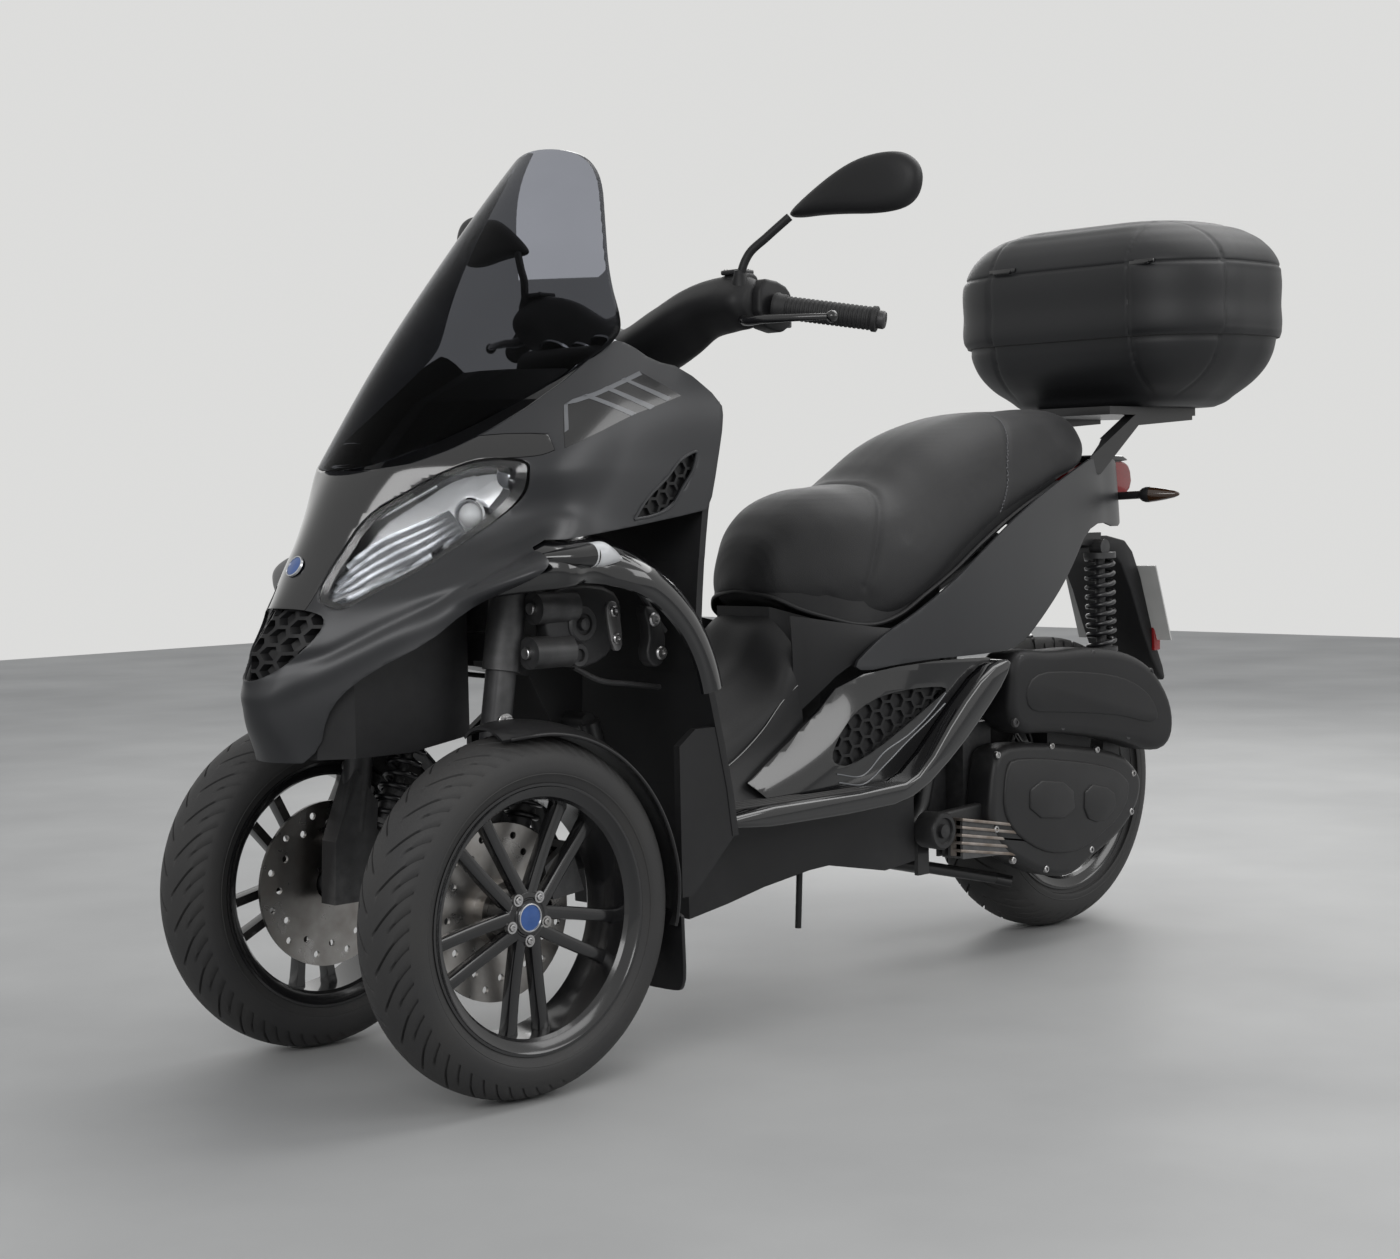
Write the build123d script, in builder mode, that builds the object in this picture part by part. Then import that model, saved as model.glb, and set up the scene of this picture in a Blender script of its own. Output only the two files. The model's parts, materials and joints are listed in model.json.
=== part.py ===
"""Three-wheeled motor scooter with a tall screen and a top case, in millimetres.

X points to the rider's left, Y to the rear and Z up. Stations along Y are measured
from the front axle, and what the rear axle carries is measured from the rear axle.
Each piece moves by centre_y when it is written, so the origin lies on the floor
under the middle of the outline.
"""
import os
from math import cos, radians, sin, tan

from build123d import *

os.makedirs("parts", exist_ok=True)

# Wheels and stance
track = 465.0
wheelbase = 1440.0
front_tyre_radius = 242.0
front_tyre_width = 112.0
front_bead_radius = 165.0
rear_tyre_radius = 262.0
rear_tyre_width = 140.0
rear_bead_radius = 178.0
flange_height = 14.0
flange_width = 5.0
rim_wall = 7.0
spoke_pairs = 5
spoke_depth = 18.0
hub_radius = 38.0
hub_inner = 20.0
hub_outer = 24.5
disc_radius = 120.0
disc_thickness = 5.0
disc_inset = 43.0

# Clearances
moving_gap = 6.0
seat_gap = 0.3

# Steering
kingpin_offset = 82.5
kingpin_rake = 9.0
kingpin_low = 78.0
kingpin_top = 318.0
kingpin_radius = 21.0
bar_rake = 27.0
bar_y = 430.0
bar_z = 1035.0
grip_start_x = 270.0
grip_end_x = 398.0
grip_radius = 17.0
grip_collar_length = 20.0
grip_collar_radius = 19.5

# Front suspension and mudguards
spring_radius = 24.0
spring_turns = 8
guard_gap = 18.0
guard_wall = 4.0
guard_ahead = 101.0
guard_behind = 34.0

# Panels
panel_wall = 4.0
screen_wall = 6.0
screen_curve = 0.005
shield_wall = 12.0
lamp_depth = 52.0
flank_x = 240.0
arch_y = 90.0
arch_z = 480.0
arch_outer_radius = 243.0
arch_inner_radius = 199.0
arch_reach = 75.5
grille_border = 4.0

# Floor, tunnel and storage
floor_z = 332.0
shield_foot_y = 412.0
tunnel_half = 118.0
bin_half_width = 108.0
bin_wall = 4.0
rail_radius = 16.0
rail_x = 88.0
rail_z = 236.0

# Rear suspension
shock_x = 94.0
shock_behind = 60.0
shock_low_z = 400.0
shock_top_z = 690.0
axle_radius = 17.0

# Centre stand pivot
stand_z = 168.0

# Top case
case_half_width = 300.0
case_half_depth = 198.0
case_behind = 258.0
case_floor_z = 938.0
case_split_z = 1060.0
case_wall = 5.0

# Places that follow from the sizes above
nose_y = -256.0
wheel_x = track / 2
kingpin_x = wheel_x - kingpin_offset
axle_z = front_tyre_radius
rear_y = wheelbase
rear_z = rear_tyre_radius
arch_outer_x = wheel_x + arch_reach
stand_y = rear_y - 440
case_y = rear_y + case_behind
centre_y = (nose_y + case_y + case_half_depth) / 2


def side_plane(x=0.0):
    """Plane that looks along X: its own axes are the machine's Y and Z."""
    return Plane(origin=(x, 0, 0), x_dir=(0, 1, 0), z_dir=(1, 0, 0))


def cross_plane(y=0.0):
    """Plane that looks along Y: its own axes are the machine's X and Z."""
    return Plane(origin=(0, y, 0), x_dir=(1, 0, 0), z_dir=(0, -1, 0))


def level_plane(z=0.0):
    """Horizontal plane: its own axes are the machine's X and Y."""
    return Plane(origin=(0, 0, z), x_dir=(1, 0, 0), z_dir=(0, 0, 1))


def behind(points):
    """Side outline given from the rear axle's station, with heights from the floor."""
    return [(rear_y + y, z) for y, z in points]


def at_rear_axle(points):
    """Side outline given from the centre of the rear axle."""
    return [(rear_y + y, rear_z + z) for y, z in points]


def closed_face(points):
    """Face inside straight lines through the points, in the sketch that is open."""
    Polygon(*points, align=None)


def both_halves(half):
    """Closed outline from the points of the X > 0 half, listed from front to rear."""
    return half + [(-x, y) for x, y in reversed(half) if x > 0]


def save(name, piece):
    """Write one piece, moved into the frame of the finished part."""
    moved = piece.moved(Location((0, -centre_y, 0)))
    moved.label = name
    export_step(moved, f"parts/{name}.step")


def mirrored(piece):
    return mirror(piece, about=Plane.YZ)


def save_pair(name, piece):
    """Write a left piece and its mirror image as two nodes."""
    save(f"{name}_left", piece)
    save(f"{name}_right", mirrored(piece))


def save_both(name, piece):
    """Write a left piece and its mirror image as one node."""
    save(name, Compound(children=[piece, mirrored(piece)]))


def plan_loft(levels):
    """Loft through half plans given as (z, [(x, y), ...]) from low to high."""
    with BuildPart() as body:
        for z, half in levels:
            with BuildSketch(level_plane(z)):
                closed_face(both_halves(half))
        loft(ruled=True)
    return body.part


def side_prism(points, x_low, x_high):
    """Solid between two X stations with an outline given in Y and Z."""
    with BuildPart() as body:
        with BuildSketch(side_plane(x_low)):
            closed_face(points)
        extrude(amount=x_high - x_low)
    return body.part


def rounded_side_prism(points, x_low, x_high, radius):
    """The same with its corners rounded in the outline."""
    with BuildPart() as body:
        with BuildSketch(side_plane(x_low)) as outline:
            closed_face(points)
            fillet(outline.vertices(), radius)
        extrude(amount=x_high - x_low)
    return body.part


def level_prism(points, z_low, z_high):
    """Solid between two heights with an outline given in X and Y."""
    with BuildPart() as body:
        with BuildSketch(level_plane(z_low)):
            closed_face(points)
        extrude(amount=z_high - z_low)
    return body.part


def cross_prism(points, y_low, y_high):
    """Solid between two Y stations with an outline given in X and Z."""
    with BuildPart() as body:
        with BuildSketch(cross_plane(y_low)):
            closed_face(points)
        extrude(amount=-(y_high - y_low))
    return body.part


def rod(start, end, radius):
    """Round bar between two points."""
    axis = Vector(*end) - Vector(*start)
    with BuildPart() as bar:
        with BuildSketch(Plane(origin=start, z_dir=axis.normalized())):
            Circle(radius)
        extrude(amount=axis.length)
    return bar.part


def honeycomb(plane, outline, depth, cell, web):
    """Plate with six-sided holes inside an outline, cut through along the plane's normal."""
    low = Vector(min(p[0] for p in outline), min(p[1] for p in outline))
    high = Vector(max(p[0] for p in outline), max(p[1] for p in outline))
    column_step = cell * 0.75
    row_step = cell * sin(radians(60))
    columns = int((high.X - low.X) / column_step / 2) + 2
    rows = int((high.Y - low.Y) / row_step / 2) + 2
    middle = (low + high) * 0.5
    centres = [
        (middle.X + column * column_step, middle.Y + (row + 0.5 * (column % 2)) * row_step)
        for column in range(-columns, columns + 1)
        for row in range(-rows, rows + 1)
    ]
    with BuildPart() as plate:
        with BuildSketch(plane):
            closed_face(outline)
            offset(amount=grille_border, kind=Kind.INTERSECTION)
            with Locations(*centres):
                RegularPolygon(cell / 2 - web * 0.577, 6, mode=Mode.SUBTRACT)
        extrude(amount=depth)
    return plate.part


# Wheels


def tyre(x, y, radius, width, bead_radius):
    """Rubber ring with bulging sidewalls and a round crown."""
    bead = width * 0.40 - seat_gap
    seat = bead_radius + seat_gap
    rest = bead_radius + flange_height + 5
    shoulder = radius - width * 0.125
    side = width * 0.44
    with BuildPart() as ring:
        with BuildSketch(cross_plane(y)):
            with BuildLine():
                Line((x - bead, radius + seat), (x - bead, radius + rest))
                ThreePointArc(
                    (x - bead, radius + rest),
                    (x - width / 2, radius + (rest + shoulder) / 2),
                    (x - side, radius + shoulder),
                )
                ThreePointArc(
                    (x - side, radius + shoulder), (x, 2 * radius), (x + side, radius + shoulder)
                )
                ThreePointArc(
                    (x + side, radius + shoulder),
                    (x + width / 2, radius + (rest + shoulder) / 2),
                    (x + bead, radius + rest),
                )
                Line((x + bead, radius + rest), (x + bead, radius + seat))
                Line((x + bead, radius + seat), (x - bead, radius + seat))
            make_face()
        revolve(axis=Axis((x, y, radius), (1, 0, 0)))
    return ring.part


def rim(x, y, radius, width, bead_radius):
    """Cast wheel: barrel with two flanges, hub, five bolt bosses and twin spokes."""
    bead = width * 0.40
    barrel_radius = bead_radius - rim_wall
    flange_radius = bead_radius + flange_height
    reach = barrel_radius - 1
    with BuildPart() as wheel:
        with BuildSketch(cross_plane(y)):
            closed_face(
                [
                    (x - bead - flange_width, radius + barrel_radius),
                    (x - bead - flange_width, radius + flange_radius),
                    (x - bead, radius + flange_radius),
                    (x - bead, radius + bead_radius),
                    (x + bead, radius + bead_radius),
                    (x + bead, radius + flange_radius),
                    (x + bead + flange_width, radius + flange_radius),
                    (x + bead + flange_width, radius + barrel_radius),
                ]
            )
        revolve(axis=Axis((x, y, radius), (1, 0, 0)))
        with BuildSketch(side_plane(x - hub_inner)):
            with Locations((y, radius)):
                Circle(hub_radius)
                with PolarLocations(hub_radius - 2, spoke_pairs, start_angle=-90):
                    Circle(13)
        extrude(amount=hub_inner + hub_outer)
        with BuildSketch(side_plane(x + 8)):
            with Locations((y, radius)):
                with PolarLocations(0, spoke_pairs, start_angle=-90):
                    for side in (1, -1):
                        Polygon(
                            (30, side * 2.5),
                            (30, side * 20.5),
                            (reach, side * 38),
                            (reach, side * 20),
                            align=None,
                        )
        extrude(amount=spoke_depth)
    return wheel.part


def brake_disc(x, y, radius, hub_end):
    """Drilled disc with the carrier that bolts it to the wheel's hub."""
    with BuildPart() as disc:
        with BuildSketch(side_plane(x)):
            with Locations((y, radius)):
                Circle(disc_radius)
                Circle(24, mode=Mode.SUBTRACT)
                for ring, turn in ((88, 0), (104, 15)):
                    with PolarLocations(ring, 12, start_angle=turn):
                        Circle(5, mode=Mode.SUBTRACT)
        extrude(amount=disc_thickness)
        with BuildSketch(side_plane(x + disc_thickness)):
            with Locations((y, radius)):
                Circle(44)
                Circle(24, mode=Mode.SUBTRACT)
        extrude(amount=hub_end - x - disc_thickness)
    return disc.part


disc_x = wheel_x - disc_inset
save_pair("tyre_front", tyre(wheel_x, 0, front_tyre_radius, front_tyre_width, front_bead_radius))
save_pair("rim_front", rim(wheel_x, 0, front_tyre_radius, front_tyre_width, front_bead_radius))
save_pair("disc", brake_disc(disc_x, 0, front_tyre_radius, wheel_x - hub_inner - seat_gap))
save("tyre_rear", tyre(0, rear_y, rear_tyre_radius, rear_tyre_width, rear_bead_radius))
save("rim_rear", rim(0, rear_y, rear_tyre_radius, rear_tyre_width, rear_bead_radius))

# Steered front corner: kingpin with stub axle, caliper, spring and mudguard


def kingpin_y(height):
    """Station of the kingpin axis at a height above the front axle."""
    return height * tan(radians(kingpin_rake))


def at_axle(points):
    """Side outline given from the centre of the front axle."""
    return [(y, axle_z + z) for y, z in points]


def make_knuckle():
    low = (kingpin_x, kingpin_y(kingpin_low), axle_z + kingpin_low)
    top = (kingpin_x, kingpin_y(kingpin_top), axle_z + kingpin_top)
    ear = kingpin_y(kingpin_low + 90)
    web = [(-34, -22), (34, -22), (46, 118), (ear - 16, 168), (-30, 68)]
    caliper_arm = [(20, 20), (64, -30), (126, 4), (96, 92), (40, 84)]
    knuckle = rod(low, top, kingpin_radius)
    knuckle += side_prism(at_axle(web), kingpin_x - 20, kingpin_x + 14)
    knuckle += side_prism(at_axle(caliper_arm), kingpin_x + 12, disc_x - moving_gap)
    stub = wheel_x - hub_inner - seat_gap
    knuckle += rod((kingpin_x, 0, axle_z), (stub, 0, axle_z), axle_radius)
    return knuckle + make_caliper()


def make_caliper():
    """Brake caliper that straddles the rim of the disc."""
    outline = at_axle([(80, 8), (136, 14), (112, 84), (66, 54)])
    slot_low = disc_x - moving_gap
    slot_high = disc_x + disc_thickness + moving_gap
    body = side_prism(outline, slot_low - 8, slot_high + 12)
    slot = rod((slot_low, 0, axle_z), (slot_high, 0, axle_z), disc_radius + moving_gap)
    return body - slot


def make_damper():
    """Coil spring on its damper, drawn as a stack of turns."""
    low = Vector(kingpin_x - 4, 62, axle_z + 76)
    top = Vector(kingpin_x - 4, 128, axle_z + 210)
    axis = (top - low).normalized()
    length = (top - low).length
    seats = [(0.02, spring_radius + 3), (0.93, spring_radius + 3)]
    turns = [(0.10 + 0.80 * turn / (spring_turns - 1), spring_radius) for turn in range(spring_turns)]
    unit = rod(tuple(low), tuple(top), 13)
    for share, radius in turns + seats:
        start = low + axis * (length * share)
        unit += rod(tuple(start), tuple(start + axis * 8), radius)
    return unit


def axis_of_wheel():
    return Axis((wheel_x, 0, axle_z), (1, 0, 0))


def make_fender():
    """Arched guard over the tyre with its stay to the kingpin."""
    crown = front_tyre_radius + guard_gap
    edge = crown - 16
    half = front_tyre_width / 2 + 4
    with BuildPart() as guard:
        with BuildSketch(cross_plane(0)):
            with BuildLine():
                outer_left = (wheel_x - half, axle_z + edge)
                outer_right = (wheel_x + half, axle_z + edge)
                inner_left = (wheel_x - half + guard_wall, axle_z + edge)
                inner_right = (wheel_x + half - guard_wall, axle_z + edge)
                ThreePointArc(outer_left, (wheel_x, axle_z + crown), outer_right)
                Line(outer_right, inner_right)
                ThreePointArc(inner_right, (wheel_x, axle_z + crown - guard_wall), inner_left)
                Line(inner_left, outer_left)
            make_face()
        revolve(axis=axis_of_wheel(), revolution_arc=-(guard_ahead + guard_behind))
    turned = guard.part.rotate(axis_of_wheel(), guard_ahead - 90)
    stay_x = kingpin_x + kingpin_radius - 8
    stay = side_prism(at_axle([(12, 178), (56, 178), (64, edge), (0, edge)]), stay_x, stay_x + 8)
    foot = at_axle([(0, edge), (60, edge - 10), (64, edge + 4), (0, edge + 12)])
    stay += side_prism(foot, stay_x, stay_x + 15)
    return turned + stay


knuckle = make_knuckle()
save_pair("knuckle", knuckle)
save_pair("shock", make_damper() - knuckle)
save_pair("fender", make_fender() - knuckle)

# Frame: head, spine block, bent rails and cross tubes


def bar_axis_y(z):
    """Station of the handlebar's own steering axis at a height."""
    return bar_y + (z - bar_z) * tan(radians(bar_rake))


def rail(side):
    """One bent tube from the head under the floor and up to the tail."""
    x = side * rail_x
    with BuildPart() as tube:
        with BuildLine():
            route = FilletPolyline(
                (x, 262, 470),
                (x, 338, rail_z + 4),
                (x, rear_y - 460, rail_z - 6),
                (x, rear_y - 355, 560),
                (x, rear_y - 10, 700),
                radius=70,
            )
        with BuildSketch(Plane(origin=route @ 0, z_dir=route % 0)):
            Circle(rail_radius)
        sweep()
    return tube.part


head_low = Vector(0, bar_axis_y(700), 700)
head_high = Vector(0, bar_axis_y(873), 873)
head_axis = (head_high - head_low).normalized()


def make_frame():
    spine = [(90, 560), (90, 640), (180, 690), (262, 740)]
    spine += [(300, 700), (290, 470), (240, 455), (190, 540)]
    stand_lug = [(-14, stand_z - 14), (14, stand_z - 14), (14, rail_z + 14), (-14, rail_z + 14)]
    lug_z = shock_top_z + seat_gap
    shock_lug = behind([(-50, lug_z), (68, lug_z), (68, 712), (-50, 712)])
    frame = rail(1) + rail(-1) + rod(tuple(head_low), tuple(head_high), 27)
    frame += side_prism(spine, -42, 42)
    for side in (1, -1):
        lug_x = side * rail_x
        lug = [(stand_y + y, z) for y, z in stand_lug]
        frame += side_prism(lug, lug_x - 8, lug_x)
        frame += side_prism(shock_lug, lug_x - 14, lug_x)
    for y, z in ((262, 470), (700, rail_z - 3), (rear_y - 480, rail_z - 5), (rear_y - 25, 694)):
        frame += rod((-rail_x, y, z), (rail_x, y, z), rail_radius - 3)
    return frame


frame = make_frame()

# Tilting arms: two pairs between the kingpin tops and the central pivots


def make_tilt_arms():
    arms = None
    for height in (kingpin_top + 24, kingpin_top + 84):
        z = axle_z + height
        y = kingpin_y(height) + 24
        beam = [
            (-kingpin_x - 46, z - 15),
            (kingpin_x + 46, z - 15),
            (kingpin_x + 46, z + 11),
            (kingpin_x, z + 18),
            (60, z + 24),
            (-60, z + 24),
            (-kingpin_x, z + 18),
            (-kingpin_x - 46, z + 11),
        ]
        arm = cross_prism(beam, y, y + 46)
        for x in (-kingpin_x - 40, 0, kingpin_x + 40):
            arm += rod((x, y - 12, z), (x, y + 58, z), 22)
        arms = arm if arms is None else arms + arm
    for side in (1, -1):
        low = kingpin_top + seat_gap
        high = kingpin_top + 106
        start = (side * kingpin_x, kingpin_y(low), axle_z + low)
        end = (side * kingpin_x, kingpin_y(high), axle_z + high)
        arms += rod(start, end, kingpin_radius + 5)
    return arms


tilt_arms = make_tilt_arms() - frame
save("tilt_arms", tilt_arms)

# Handlebar with its cover, grips, levers and mirrors

cover_sections = [
    (0, 434, 1000, 60, 44),
    (70, 438, 1020, 58, 50),
    (130, 444, 1046, 52, 54),
    (170, 448, 1064, 46, 44),
    (252, 454, 1067, 42, 39),
]
grip_start = Vector(grip_start_x, 473, 1060.5)
grip_end = Vector(grip_end_x, 552, 1036)


def make_handlebar():
    both = [(-x, *rest) for x, *rest in reversed(cover_sections[1:])] + cover_sections
    with BuildPart() as cover:
        for x, y, z, half_depth, half_height in both:
            with BuildSketch(side_plane(x)):
                with Locations((y, z)):
                    Ellipse(half_depth, half_height)
        loft()
    bar = cover.part + rod(tuple(head_high + head_axis * seat_gap), (0, bar_axis_y(990), 990), 22)
    switch_side = [(446, 1034), (512, 1020), (520, 1076), (500, 1096), (450, 1102)]
    switches = rounded_side_prism(switch_side, 236, 266, 8)
    return bar + switches + mirrored(switches)


def make_grip():
    along = (grip_end - grip_start).normalized()
    grip = rod(tuple(grip_start), tuple(grip_end), grip_radius)
    collar_end = grip_start + along * grip_collar_length
    grip += rod(tuple(grip_start), tuple(collar_end), grip_collar_radius)
    return grip + rod(tuple(grip_end - along * 2), tuple(grip_end + along * 12), grip_radius - 4)


def make_lever():
    """Curved brake lever in front of the grip, with its ball end."""
    with BuildPart() as lever:
        with BuildSketch(level_plane(1034)):
            with BuildLine():
                Spline((250, 428), (310, 436), (378, 474))
                Line((378, 474), (370, 486))
                Spline((370, 486), (304, 452), (250, 444))
                Line((250, 444), (250, 428))
            make_face()
        extrude(amount=11)
        with Locations((376, 481, 1039)):
            Sphere(9)
    return lever.part


mirror_head = [
    (-126, -38),
    (-122, -24),
    (-40, 26),
    (16, 42),
    (70, 40),
    (96, 10),
    (84, -32),
    (36, -44),
    (-60, -36),
]


def make_mirror():
    """Stem in two bends and a head with a rounded outline."""
    stem = rod((236, 440, 1095), (244, 442, 1124), 7)
    stem += rod((244, 442, 1122), (300, 478, 1184), 6)
    with BuildPart() as head:
        face = Plane(origin=(415, 505, 1221), x_dir=(0.98, 0.17, 0), z_dir=(0.17, -0.98, 0))
        with BuildSketch(face) as outline:
            closed_face(mirror_head)
            fillet(outline.vertices().sort_by(Axis.X)[2:], 16)
        extrude(amount=13, both=True)
        chamfer(head.faces().sort_by(Axis.Y)[0].edges(), 7)
    return stem + head.part


handlebar = make_handlebar()
grip = make_grip() - handlebar
lever = make_lever() - handlebar - grip
save("handlebar", handlebar)
save_both("grips", grip)
save_both("levers", lever)
save_both("mirrors", make_mirror() - handlebar)

# Front cowl: one master form, split where the real panels meet

cowl_levels = [
    (452, [(0, -229), (34, -222), (62, -196), (70, -150), (71, 60), (72, 240), (73, 400)]),
    (545, [(0, nose_y), (30, -243), (64, -205), (120, -147), (190, -78), (228, 120), (230, 400)]),
    (600, [(0, -253), (42, -226), (80, -183), (140, -126), (200, -66), (236, 120), (237, 400)]),
    (650, [(0, -212), (48, -190), (90, -156), (165, -95), (215, -48), (240, 120), (238, 400)]),
    (706, [(0, -176), (60, -152), (140, -72), (220, -22), (arch_outer_x - 12, 6), (252, 130), (239, 400)]),
    (733, [(0, -161), (60, -136), (140, -56), (205, 8), (264, 44), (248, 140), (239, 400)]),
    (762, [(0, -145), (60, -122), (140, -44), (200, 26), (238, 78), (242, 150), (flank_x, 400)]),
    (835, [(0, -106), (60, -90), (110, -60), (180, 4), (230, 76), (238, 200), (flank_x, 410)]),
    (925, [(0, -38), (54, -26), (110, 10), (170, 78), (210, 150), (228, 250), (236, 415)]),
    (1010, [(0, 30), (50, 42), (100, 76), (150, 130), (190, 210), (200, 330), (206, 420)]),
]


def cowl_body(inset):
    """Master form of the front, drawn in by a wall."""
    levels = []
    for z, half in cowl_levels:
        plan = []
        for x, y in half:
            ahead = 1.35 * inset if y < 200 else 0
            plan.append((max(x - inset, 0) if x else 0, y + ahead))
        levels.append((z, plan))
    return plan_loft(levels)


def arch_point(radius, angle):
    """Point on a circle about the wheel arch, its angle taken upwards from the rear."""
    return (arch_y + radius * cos(radians(angle)), arch_z + radius * sin(radians(angle)))


cowl_outer = cowl_body(0)
cowl_shell = cowl_outer - cowl_body(panel_wall)
arch_seam = [arch_point(arch_outer_radius + 22, angle) for angle in (104, 90, 75, 60, 40, 20, 8)]
flank_crease = [(84, 737), (183, 747), (346, 769), (366, 775)]
lower_seam = [
    (-300, 446),
    (-214, 446),
    (-190, 472),
    (-188, 511),
    (-175, 540),
    (-147, 569),
    (-94, 607),
    (-57, 647),
    (10, 700),
    (31, 738),
]
flank_rear = [(366, 775), (383, 835), (398, 899), (398, 925)]
flank_top = [
    (398, 925),
    (338, 973),
    (292, 981),
    (253, 1005),
    (225, 1010),
    (110, 930),
    (0, 868),
    (-78, 833),
    (-140, 836),
    (-300, 836),
]
painted_region = side_prism(lower_seam + flank_crease[:-1] + flank_rear + flank_top[1:], -330, 330)
painted_shell = cowl_shell & painted_region

# The black piece between the lamps runs up over them to the screen
beak_half = [
    (0, 596),
    (40, 640),
    (48, 668),
    (56, 727),
    (70, 774),
    (104, 802),
    (146, 832),
    (173, 847),
    (212, 846),
    (228, 852),
    (232, 880),
    (150, 880),
    (66, 850),
    (0, 850),
]
beak_region = cross_prism(both_halves(beak_half), -300, 90)

lamp_outline = [
    (48, 668),
    (56, 727),
    (70, 774),
    (104, 802),
    (146, 832),
    (173, 847),
    (212, 846),
    (220, 830),
    (213, 796),
    (180, 752),
    (148, 708),
    (111, 676),
    (85, 651),
    (66, 656),
]
grille_outline = [(0, 560), (26, 565), (62, 600), (74, 640), (50, 652), (0, 655)]


lamp_tool = cross_prism(lamp_outline, -300, 95)
with BuildPart() as lamp_cavity:
    with BuildSketch(cross_plane(-300)):
        closed_face(lamp_outline)
        offset(amount=-7, kind=Kind.INTERSECTION)
    extrude(amount=-395)
lamp_lens = cowl_shell & lamp_tool
lamp_back = cowl_outer.moved(Location((0, lamp_depth, 0)))
lamp_floor = cowl_outer.moved(Location((0, lamp_depth - 8, 0)))
lamp_bowl = (cowl_body(panel_wall + seat_gap) - lamp_back) & lamp_tool
lamp_bowl = lamp_bowl - ((cowl_outer - lamp_floor) & lamp_cavity.part)
lamp_holes = lamp_tool + mirrored(lamp_tool)
save_both("headlamp_lenses", lamp_lens)
save_both("headlamp_bowls", lamp_bowl)

# Grilles: honeycomb plates set a little way into the nose and the flanks

grille_hole = cross_prism(both_halves(grille_outline), -320, -100)
nose_comb = honeycomb(cross_plane(-320), both_halves(grille_outline), -220, 26, 4.5)
nose_grille = (cowl_body(panel_wall + seat_gap) - cowl_body(13)) & nose_comb
nose_grille += (cowl_body(13) - cowl_body(16)) & grille_hole
vent_outline = [(208, 760), (241, 760), (296, 782), (332, 817), (349, 859), (313, 845), (262, 801)]
vent_hole = side_prism(vent_outline, 190, 260)
vent_comb = honeycomb(side_plane(190), vent_outline, 70, 24, 4)
flank_vent = (cowl_body(panel_wall + seat_gap) - cowl_body(10)) & vent_comb
flank_vent += (cowl_body(10) - cowl_body(13)) & vent_hole
save("nose_grille", nose_grille)

# Windscreen: bent sheet cut to its front outline

screen_levels = [(820, -118), (985, 0), (1130, 120), (1220, 200), (1310, 285)]
screen_half = 230.0
screen_steps = 10
screen_outline = [
    (0, 833),
    (66, 840),
    (123, 875),
    (171, 935),
    (195, 980),
    (205, 1013),
    (199, 1040),
    (176, 1094),
    (143, 1182),
    (115, 1245),
    (85, 1278),
    (50, 1292),
    (0, 1297),
]


def screen_sheet(wall, shift=0.0):
    """Bent sheet, wider and taller than the screen that is cut from it."""
    across = [screen_half * (2 * step / screen_steps - 1) for step in range(screen_steps + 1)]
    with BuildPart() as sheet:
        for z, y in screen_levels:
            front = [(x, y + shift + screen_curve * x**2) for x in across]
            back = [(x, y + shift + screen_curve * x**2 + wall) for x in reversed(across)]
            with BuildSketch(level_plane(z)):
                closed_face(front + back)
        loft(ruled=True)
    return sheet.part


windscreen = screen_sheet(screen_wall) & cross_prism(both_halves(screen_outline), -200, 600)
screen_space = screen_sheet(screen_wall + 2 * seat_gap, -seat_gap)

front_cowl = painted_shell - beak_region - lamp_holes - grille_hole - vent_hole - mirrored(vent_hole)
front_cowl = front_cowl - screen_space
nose_beak = (painted_shell & beak_region) - lamp_holes - grille_hole - screen_space
save("front_cowl", front_cowl)
save("nose_beak", nose_beak)
save("windscreen", windscreen)

# Black liner between the nose and the tilting arms

liner_side = [
    (-192, 455),
    (-190, 511),
    (-176, 540),
    (-148, 569),
    (-95, 607),
    (-58, 647),
    (40, 648),
    (40, 470),
    (-60, 455),
]
liner_plan = [(-62, -192), (62, -192), (90, -150), (92, 40), (-92, 40), (-90, -150)]
liner_hollow = [(-58, -182), (58, -182), (86, -148), (88, 60), (-88, 60), (-86, -148)]
inner_liner = level_prism(liner_plan, 450, 660) & side_prism(liner_side, -100, 100)
inner_liner = inner_liner - level_prism(liner_hollow, 459, 670)
inner_liner = inner_liner - frame - tilt_arms
save("inner_liner", inner_liner - painted_shell)

# Wheel arches: flared lips over the front wheels, with the side below the flank


def make_arch():
    inner_x = flank_x - 4
    lip = arch_outer_x
    with BuildPart() as ring:
        with BuildSketch(cross_plane(arch_y)):
            closed_face(
                [
                    (inner_x, arch_z + arch_outer_radius + 26),
                    (lip - 22, arch_z + arch_outer_radius + 6),
                    (lip - 6, arch_z + arch_outer_radius - 6),
                    (lip, arch_z + arch_outer_radius - 20),
                    (lip - 4, arch_z + arch_inner_radius),
                    (lip - 10, arch_z + arch_inner_radius),
                    (lip - 6, arch_z + arch_outer_radius - 22),
                    (lip - 24, arch_z + arch_outer_radius),
                    (inner_x, arch_z + arch_outer_radius + 20),
                ]
            )
        revolve(axis=Axis((0, arch_y, arch_z), (1, 0, 0)), revolution_arc=-101)
    turned = ring.part.rotate(Axis((0, arch_y, arch_z), (1, 0, 0)), 11)
    below = arch_seam + [(352, 560), (346, 600), (348, 672), (354, 729)]
    side = cowl_shell & side_prism(below + list(reversed(flank_crease[:-1])), 200, 330)
    return (turned - cowl_outer) + side


arch = make_arch()
save_both("wheel_arches", arch)

# Leg shield: rear wall and the two cheeks behind the wheels

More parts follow.
